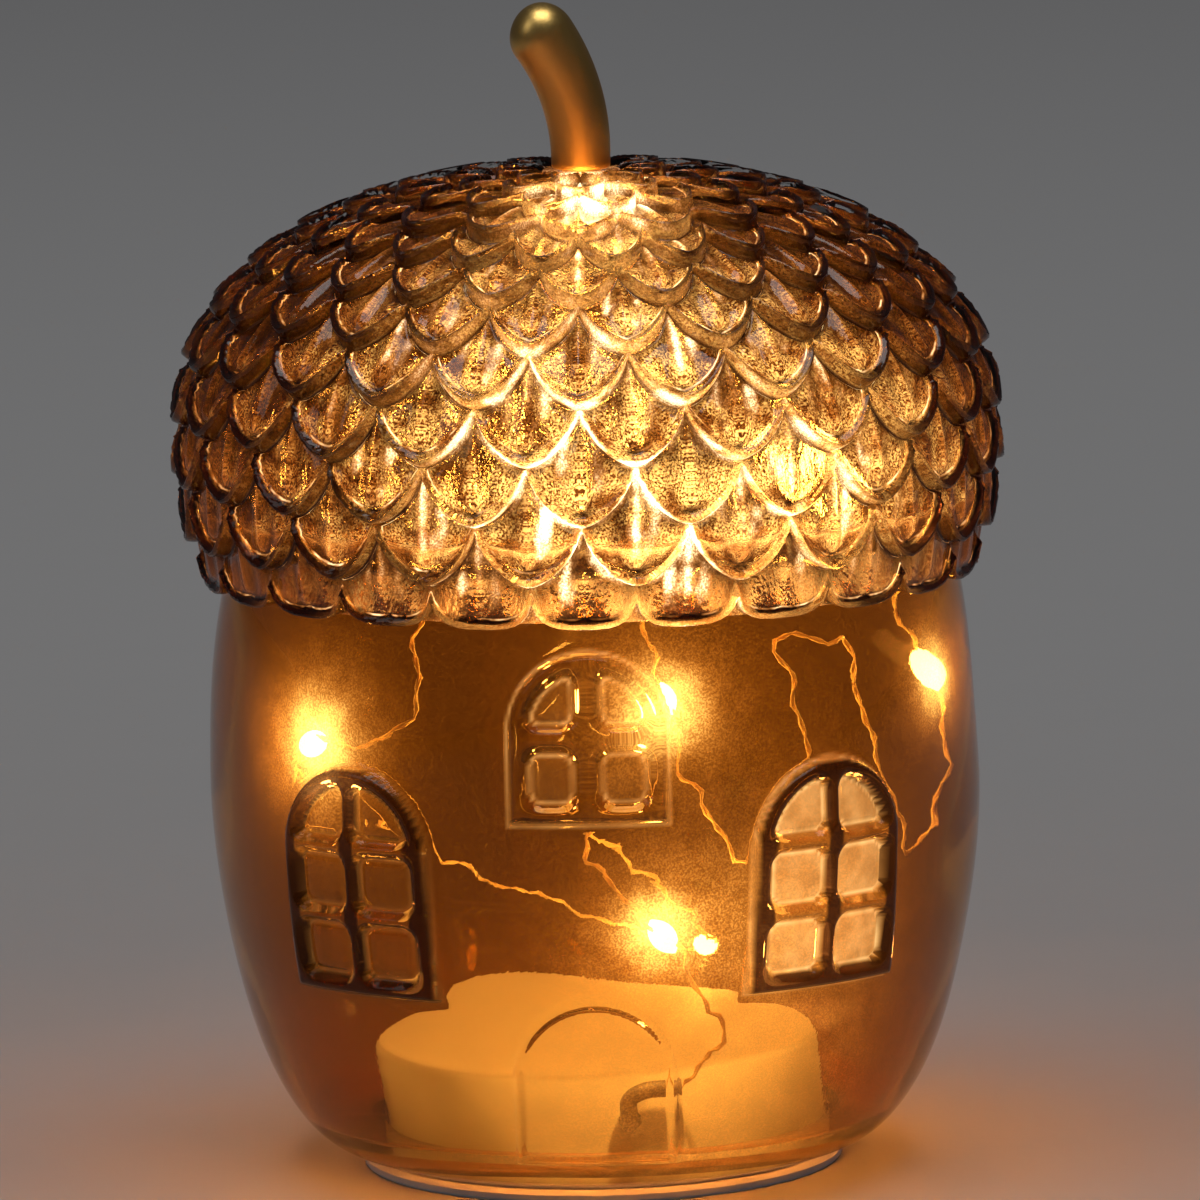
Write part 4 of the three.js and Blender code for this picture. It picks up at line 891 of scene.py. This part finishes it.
def put(tree, kind, inputs=None, **settings):
    """A node with its settings, and its inputs given as values or linked from sockets."""
    node = tree.nodes.new(kind)
    for name, value in settings.items():
        setattr(node, name, value)
    for name, value in (inputs or {}).items():
        if isinstance(value, bpy.types.NodeSocket):
            tree.links.new(value, node.inputs[name])
        else:
            node.inputs[name].default_value = value
    return node


def new_finish(name):
    finish = bpy.data.materials.new(name)
    finish.use_nodes = True
    finish.node_tree.nodes.clear()
    return finish, finish.node_tree


def show_shader(tree, shader):
    put(tree, "ShaderNodeOutputMaterial", {"Surface": shader})


def mix_colours(tree, share, first, second):
    mixed = put(tree, "ShaderNodeMix", {0: share, 6: first, 7: second}, data_type="RGBA")
    return mixed.outputs[2]


def mix_shaders(tree, share, first, second):
    return put(tree, "ShaderNodeMixShader", {0: share, 1: first, 2: second}).outputs[0]


def between(tree, value, low, high, to_low, to_high):
    node = put(tree, "ShaderNodeMapRange", {
        "Value": value, "From Min": low, "From Max": high, "To Min": to_low, "To Max": to_high})
    return node.outputs["Result"]


def kept_value(tree, name):
    return put(tree, "ShaderNodeAttribute", attribute_name=name).outputs["Fac"]


def calculate(tree, operation, first, second):
    return put(tree, "ShaderNodeMath", {0: first, 1: second}, operation=operation).outputs[0]


def object_noise(tree, grain_size, detail=2.0, stretch=(1, 1, 1)):
    """Noise with grains of a size in millimetres."""
    place = put(tree, "ShaderNodeTexCoord").outputs["Object"]
    place = put(tree, "ShaderNodeMapping", {"Vector": place, "Scale": stretch}).outputs["Vector"]
    settings = {"Vector": place, "Scale": 1 / (grain_size * MM), "Detail": detail}
    return put(tree, "ShaderNodeTexNoise", settings).outputs[0]


def object_place(tree, axis):
    place = put(tree, "ShaderNodeTexCoord").outputs["Object"]
    return put(tree, "ShaderNodeSeparateXYZ", {0: place}).outputs[axis]


def bumped(tree, height, strength, depth):
    return put(tree, "ShaderNodeBump", {
        "Height": height, "Strength": strength, "Distance": depth * MM}).outputs["Normal"]


def new_group(name, outputs):
    """A node group that puts out the named values."""
    group = bpy.data.node_groups.new(name, "ShaderNodeTree")
    for socket in outputs:
        group.interface.new_socket(socket, in_out="OUTPUT", socket_type="NodeSocketFloat")
    return group


def make_surface_group():
    """Fine grain and slow clouding, shared by the moulded, painted and sprayed finishes."""
    group = new_group("grain_and_clouding", ["Grain", "Clouding"])
    group.interface.new_socket("Grain Size", in_out="INPUT", socket_type="NodeSocketFloat")
    sizes = group.nodes.new("NodeGroupInput")
    place = put(group, "ShaderNodeTexCoord").outputs["Object"]
    per_metre = calculate(group, "DIVIDE", 1.0, sizes.outputs["Grain Size"])
    grain = put(group, "ShaderNodeTexNoise", {"Vector": place, "Scale": per_metre, "Detail": 3.0})
    clouding = put(group, "ShaderNodeTexNoise", {"Vector": place, "Scale": 55.0, "Detail": 2.0})
    put(group, "NodeGroupOutput", {"Grain": grain.outputs[0], "Clouding": clouding.outputs[0]})
    return group


surface_group = make_surface_group()


def surface(tree, grain_size):
    """Grain of a size in millimetres, and clouding."""
    node = put(tree, "ShaderNodeGroup", node_tree=surface_group)
    node.inputs["Grain Size"].default_value = grain_size * MM
    return node.outputs["Grain"], node.outputs["Clouding"]


# Finishes

ROLL_START = 0.04
ROLL_END = (1.9, 1.5)
ROLL_LINE = 2.0
ROLL_LINE_FADE = (0.2, 0.05)
SPRAY_GRAIN = 0.25
SAND_GRAIN = 0.5
LIGHT_PATCH = 3.5
LINE_BREAK = 2.5


def depth_of_tint_and_shade(tree, from_edge):
    """How deep the tint is made: by the tint and painted shade kept at the points, and by the painted shade of
    the roll along a scale's edge.
    """
    start = between(tree, from_edge, 0.0, ROLL_START, 0, 1)
    roll = calculate(tree, "MULTIPLY", start, between(tree, from_edge, *ROLL_END, 0, 1))
    roll = calculate(tree, "MULTIPLY", roll, kept_value(tree, "rim_shade"))
    return calculate(tree, "MAXIMUM", roll, kept_value(tree, "tint_and_painted_shade"))


def scattered_light(tree, grain, sprayed, speckle, patchiness):
    """The painted glow kept at the points, broken up into sparkling grains and patches."""
    patches = between(tree, object_noise(tree, LIGHT_PATCH, 3.0), 0.38, 0.62, *patchiness)
    sparkle = between(tree, grain, 0.42, 0.64, 0.1, 2.4)
    speckled = between(tree, sprayed, 0, 1, *speckle)
    sparkle = put(tree, "ShaderNodeMix", {0: speckled, 2: 1.0, 3: sparkle}).outputs[0]
    sparkle = calculate(tree, "MULTIPLY", sparkle, patches)
    return calculate(tree, "MULTIPLY", kept_value(tree, "glow"), sparkle)


def line_beside_roll(tree, from_edge):
    """A thin broken line of painted light along the inner side of a scale's roll."""
    off_line = calculate(tree, "ABSOLUTE", calculate(tree, "SUBTRACT", from_edge, ROLL_LINE), 0)
    line = between(tree, off_line, *ROLL_LINE_FADE, 0, 1)
    broken = between(tree, object_noise(tree, LINE_BREAK), 0.45, 0.65, 0, 1)
    broken = calculate(tree, "MULTIPLY", broken, kept_value(tree, "rim_light"))
    return calculate(tree, "MULTIPLY", line, broken)


def make_sprayed_glass(name, light, dark, edge, outer_shine, haze, sand_depth, through, glow_colours,
                       speckle, patchiness):
    """Glass with a thin tint sprayed on the inside, deeper where it is looked at along the wall.

    The spray is sandy and scatters a little of the light, and the glass is open to the light of the LEDs.
    Shade is painted in as deeper tint, and the glow of the LEDs and lines of light are painted in as emission.
    """
    finish, tree = new_finish(name)
    grain, clouding = surface(tree, SPRAY_GRAIN)
    sprayed = kept_value(tree, "sand")
    from_edge = kept_value(tree, "from_edge")
    # Painted shade deepens the tint
    depth = depth_of_tint_and_shade(tree, from_edge)
    thin = calculate(tree, "POWER", between(tree, depth, 0, 1, 1, 0), 2.5)
    tint = mix_colours(tree, thin, dark, light)
    slanted_tint = mix_colours(tree, thin, dark, edge)
    sand = object_noise(tree, SAND_GRAIN, 2.0, (1, 1, 0.5))
    # Painted glow and painted light lines, given as emission
    glow = scattered_light(tree, grain, sprayed, speckle, patchiness)
    glow = calculate(tree, "ADD", glow, line_beside_roll(tree, from_edge))
    slant = put(tree, "ShaderNodeLayerWeight", {"Blend": 0.5}).outputs["Facing"]
    slant = calculate(tree, "POWER", slant, 3.0)
    clear = put(tree, "ShaderNodeBsdfPrincipled", {
        "Base Color": mix_colours(tree, slant, tint, slanted_tint), "IOR": 1.47, "Transmission Weight": 1.0,
        "Roughness": between(tree, clouding, 0.3, 0.7, 0.0, 0.03),
        "Specular Tint": mix_colours(tree, sprayed, outer_shine, (1, 1, 1, 1)),
        "Normal": bumped(tree, sand, sprayed, sand_depth),
        "Emission Color": mix_colours(tree, between(tree, glow, 0, 1.4, 0, 1), *glow_colours),
        "Emission Strength": glow})
    spray = put(tree, "ShaderNodeBsdfTranslucent", {"Color": light})
    specks = between(tree, grain, 0.38, 0.66, 0.2 * haze, 2.6 * haze)
    specks = calculate(tree, "MULTIPLY", specks, sprayed)
    seen = mix_shaders(tree, specks, clear.outputs[0], spray.outputs[0])
    open_glass = put(tree, "ShaderNodeBsdfTransparent", {"Color": through}).outputs[0]
    path = put(tree, "ShaderNodeLightPath")
    lit = mix_shaders(tree, path.outputs["Is Diffuse Ray"], seen, open_glass)
    show_shader(tree, mix_shaders(tree, path.outputs["Is Shadow Ray"], lit, open_glass))
    return finish


def make_plain_finish(name, light, dark, roughness, grain_size, grain_depth, **inputs):
    """A finish with fine grain in its surface and slow changes of shade and gloss."""
    finish, tree = new_finish(name)
    grain, clouding = surface(tree, grain_size)
    shade = mix_colours(tree, between(tree, clouding, 0.3, 0.7, 0, 1), dark, light)
    settings = {"Base Color": shade, "Normal": bumped(tree, grain, 0.5, grain_depth),
                "Roughness": between(tree, grain, 0.3, 0.7, roughness - 0.06, roughness + 0.06)}
    settings.update(inputs)
    show_shader(tree, put(tree, "ShaderNodeBsdfPrincipled", settings).outputs[0])
    return finish


def make_led_resin():
    finish, tree = new_finish("lit_led_resin")
    grain, clouding = surface(tree, 0.4)
    drop = put(tree, "ShaderNodeBsdfPrincipled", {
        "Base Color": mix_colours(tree, clouding, (1.0, 0.72, 0.36, 1), (1.0, 0.86, 0.55, 1)),
        "Roughness": between(tree, grain, 0.3, 0.7, 0.08, 0.2),
        "Emission Color": (1.0, 0.88, 0.52, 1), "Emission Strength": 850.0})
    show_shader(tree, drop.outputs[0])
    return finish


def make_cell_jacket():
    """A printed film jacket with a copper band at one end."""
    finish, tree = new_finish("cell_film_jacket")
    grain, clouding = surface(tree, 0.3)
    band_start = 8 * MM
    band = calculate(tree, "GREATER_THAN", object_place(tree, "X"), band_start)
    film = mix_colours(tree, clouding, (0.03, 0.035, 0.045, 1), (0.06, 0.07, 0.09, 1))
    jacket = put(tree, "ShaderNodeBsdfPrincipled", {
        "Base Color": mix_colours(tree, band, film, (0.62, 0.3, 0.1, 1)),
        "Roughness": between(tree, grain, 0.3, 0.7, 0.22, 0.32), "Metallic": 0.6})
    show_shader(tree, jacket.outputs[0])
    return finish


def make_board_laminate():
    """Green solder mask over wider and narrower copper."""
    finish, tree = new_finish("green_board")
    grain, clouding = surface(tree, 0.2)
    place = put(tree, "ShaderNodeTexCoord").outputs["Object"]
    tracks = put(tree, "ShaderNodeTexBrick", {
        "Vector": place, "Scale": 190.0, "Mortar Size": 0.03, "Color1": (0, 0, 0, 1), "Color2": (0, 0, 0, 1),
        "Mortar": (1, 1, 1, 1)}).outputs["Fac"]
    mask = mix_colours(tree, clouding, (0.02, 0.12, 0.045, 1), (0.035, 0.17, 0.07, 1))
    board = put(tree, "ShaderNodeBsdfPrincipled", {
        "Base Color": mix_colours(tree, tracks, mask, (0.08, 0.3, 0.12, 1)),
        "Roughness": between(tree, grain, 0.3, 0.7, 0.25, 0.4), "Normal": bumped(tree, tracks, 0.4, 0.05)})
    show_shader(tree, board.outputs[0])
    return finish


finishes = {
    "nut_glass": make_sprayed_glass(
        "amber_nut_glass", light=(0.66, 0.29, 0.055, 1), dark=(0.02, 0.006, 0.002, 1),
        edge=(0.16, 0.05, 0.012, 1), outer_shine=(0.3, 0.3, 0.3, 1), haze=0.008, sand_depth=0.004,
        through=(0.6, 0.36, 0.18, 1), glow_colours=((1.0, 0.38, 0.06, 1), (1.0, 0.7, 0.28, 1)),
        speckle=(0.0, 0.3), patchiness=(0.8, 1.2)),
    "cap_glass": make_sprayed_glass(
        "brown_cap_glass", light=(0.68, 0.28, 0.055, 1), dark=(0.0008, 0.00008, 0.00002, 1),
        edge=(0.16, 0.04, 0.01, 1), outer_shine=(0.45, 0.45, 0.45, 1), haze=0.002, sand_depth=0.25,
        through=(0.6, 0.37, 0.19, 1), glow_colours=((1.0, 0.28, 0.02, 1), (1.0, 0.76, 0.38, 1)),
        speckle=(0.4, 1.0), patchiness=(0.25, 1.9)),
    "satin_gold": make_plain_finish(
        "satin_gold_paint", (0.66, 0.43, 0.13, 1), (0.52, 0.33, 0.1, 1), 0.36, 0.25, 0.02, Metallic=1.0),
    "clear_silicone": make_plain_finish(
        "clear_silicone", (0.82, 0.74, 0.62, 1), (0.74, 0.66, 0.54, 1), 0.3, 0.8, 0.03),
    "white_plastic": make_plain_finish(
        "white_moulded_plastic", (0.86, 0.85, 0.82, 1), (0.82, 0.81, 0.77, 1), 0.45, 0.35, 0.03),
    "cell_jacket": make_cell_jacket(),
    "nickel": make_plain_finish(
        "nickel_plate", (0.72, 0.71, 0.68, 1), (0.62, 0.6, 0.56, 1), 0.28, 0.3, 0.01, Metallic=1.0),
    "board_laminate": make_board_laminate(),
    "black_plastic": make_plain_finish(
        "black_moulded_plastic", (0.035, 0.035, 0.036, 1), (0.02, 0.02, 0.021, 1), 0.42, 0.3, 0.02),
    "red_jacket": make_plain_finish(
        "red_lead_jacket", (0.58, 0.05, 0.04, 1), (0.45, 0.03, 0.03, 1), 0.45, 0.3, 0.02),
    "black_jacket": make_plain_finish(
        "black_shrink_sleeve", (0.035, 0.03, 0.028, 1), (0.02, 0.018, 0.017, 1), 0.5, 0.4, 0.03),
    "copper_wire": make_plain_finish(
        "enamelled_copper", (1.0, 0.84, 0.5, 1), (0.95, 0.68, 0.34, 1), 0.4, 0.5, 0.01, Metallic=0.3),
    "led_resin": make_led_resin(),
}


# Camera, floor and light

def make_camera():
    """The photograph's view: from a little to the right and above, leaning slightly."""
    turn, tilt, lean = (math.radians(degrees) for degrees in (1.0, 8.94, 1.32))
    distance, lens = 1.6, 370
    aim_height, aim_right = 73.36 * MM, 1.17 * MM
    back = Vector((math.sin(turn) * math.cos(tilt), -math.cos(turn) * math.cos(tilt), math.sin(tilt)))
    right = Vector((math.cos(turn), math.sin(turn), 0))
    up = back.cross(right)
    aim = Vector((0, 0, aim_height)) + aim_right * right
    camera = bpy.data.objects.new("camera", bpy.data.cameras.new("camera"))
    camera.data.lens = lens
    leaning_right = right * math.cos(lean) - up * math.sin(lean)
    leaning_up = right * math.sin(lean) + up * math.cos(lean)
    axes = Matrix((leaning_right, leaning_up, back)).transposed().to_4x4()
    camera.matrix_world = Matrix.Translation(aim + distance * back) @ axes
    bpy.context.scene.collection.objects.link(camera)
    bpy.context.scene.camera = camera


def make_floor():
    """A plain grey table that can be looked through from below and lets light up to the underside."""
    bpy.ops.object.select_all(action="DESELECT")
    bpy.ops.mesh.primitive_circle_add(vertices=128, radius=9, fill_type="NGON", location=(0, 0, -0.02 * MM))
    floor = bpy.context.object
    floor.name = "floor"
    finish, tree = new_finish("grey_floor")
    grain, clouding = surface(tree, 1.2)
    # The colour gets paler towards the back: painted light that evens out the soft box's falloff over the
    # floor
    away = object_place(tree, "Y")
    near = mix_colours(tree, clouding, (0.275, 0.275, 0.277, 1), (0.285, 0.285, 0.287, 1))
    top = put(tree, "ShaderNodeBsdfPrincipled", {
        "Base Color": mix_colours(tree, between(tree, away, 0, 1.6, 0, 1), near, (0.58, 0.58, 0.58, 1)),
        "Roughness": 0.65, "Normal": bumped(tree, grain, 0.2, 0.05)})
    under = put(tree, "ShaderNodeBsdfTransparent")
    from_below = put(tree, "ShaderNodeNewGeometry").outputs["Backfacing"]
    path = put(tree, "ShaderNodeLightPath")
    passing = calculate(tree, "MAXIMUM", path.outputs["Is Diffuse Ray"], path.outputs["Is Shadow Ray"])
    passing = calculate(tree, "MAXIMUM", passing, from_below)
    show_shader(tree, mix_shaders(tree, passing, top.outputs[0], under.outputs[0]))
    floor.data.materials.append(finish)


def make_soft_box(name, place, width, depth, power):
    lamp = bpy.data.lights.new(name, "AREA")
    lamp.shape = "RECTANGLE"
    lamp.size = width
    lamp.size_y = depth
    lamp.energy = power
    box = bpy.data.objects.new(name, lamp)
    box.location = place
    middle = Vector((0, 0, 70 * MM))
    box.rotation_euler = (middle - Vector(place)).to_track_quat("-Z", "Y").to_euler()
    bpy.context.scene.collection.objects.link(box)


def make_light():
    world = bpy.data.worlds.new("studio")
    world.use_nodes = True
    tree = world.node_tree
    seen = put(tree, "ShaderNodeLightPath").outputs["Is Camera Ray"]
    shade = mix_colours(tree, seen, (0.05, 0.05, 0.054, 1), (0.14, 0.14, 0.14, 1))
    tree.links.new(shade, tree.nodes["Background"].inputs["Color"])
    bpy.context.scene.world = world
    make_soft_box("overhead_soft_box", (0.0, -0.2, 1.7), 1.2, 1.0, 15)
    make_soft_box("side_soft_box", (-1.1, -0.5, 1.0), 0.5, 0.8, 1.5)
    bpy.context.scene.view_settings.view_transform = "Standard"


# The lantern

make_camera()
make_floor()
make_light()
finish_piece(make_nut(), finishes["nut_glass"], ["glass_nut"])
finish_piece(make_cap(), finishes["cap_glass"], ["glass_cap"])
finish_piece(make_stem(), finishes["satin_gold"], ["stem"])
finish_piece(make_string(), finishes["copper_wire"], ["led_wire"])
string_run = evenly(smooth_run(wire_route(), 24), 900)
for number in range(1, LED_COUNT + 1):
    finish_piece(make_drop(number, string_run), finishes["led_resin"], [f"led_bead_{number}"])
sleeve_run = evenly(smooth_run(np.array(SLEEVE_ROUTE, float), 12), 40)
sleeve = tube("outlet_sleeve", [sleeve_run], SLEEVE_DIAMETER, 16)
finish_piece(sleeve, finishes["black_jacket"], ["wire_sleeve"])
for node, (name, rounding, slot, body) in BASE_PIECES.items():
    finish_piece(dressed(node, name, rounding), finishes[slot], [node], body)
kept_slots = {part["node"]: part["material_slot"] for part in frame["record"]["subparts"]}
for node, slot in kept_slots.items():
    nodes[node].data.materials.clear()
    nodes[node].data.materials.append(finishes[slot])
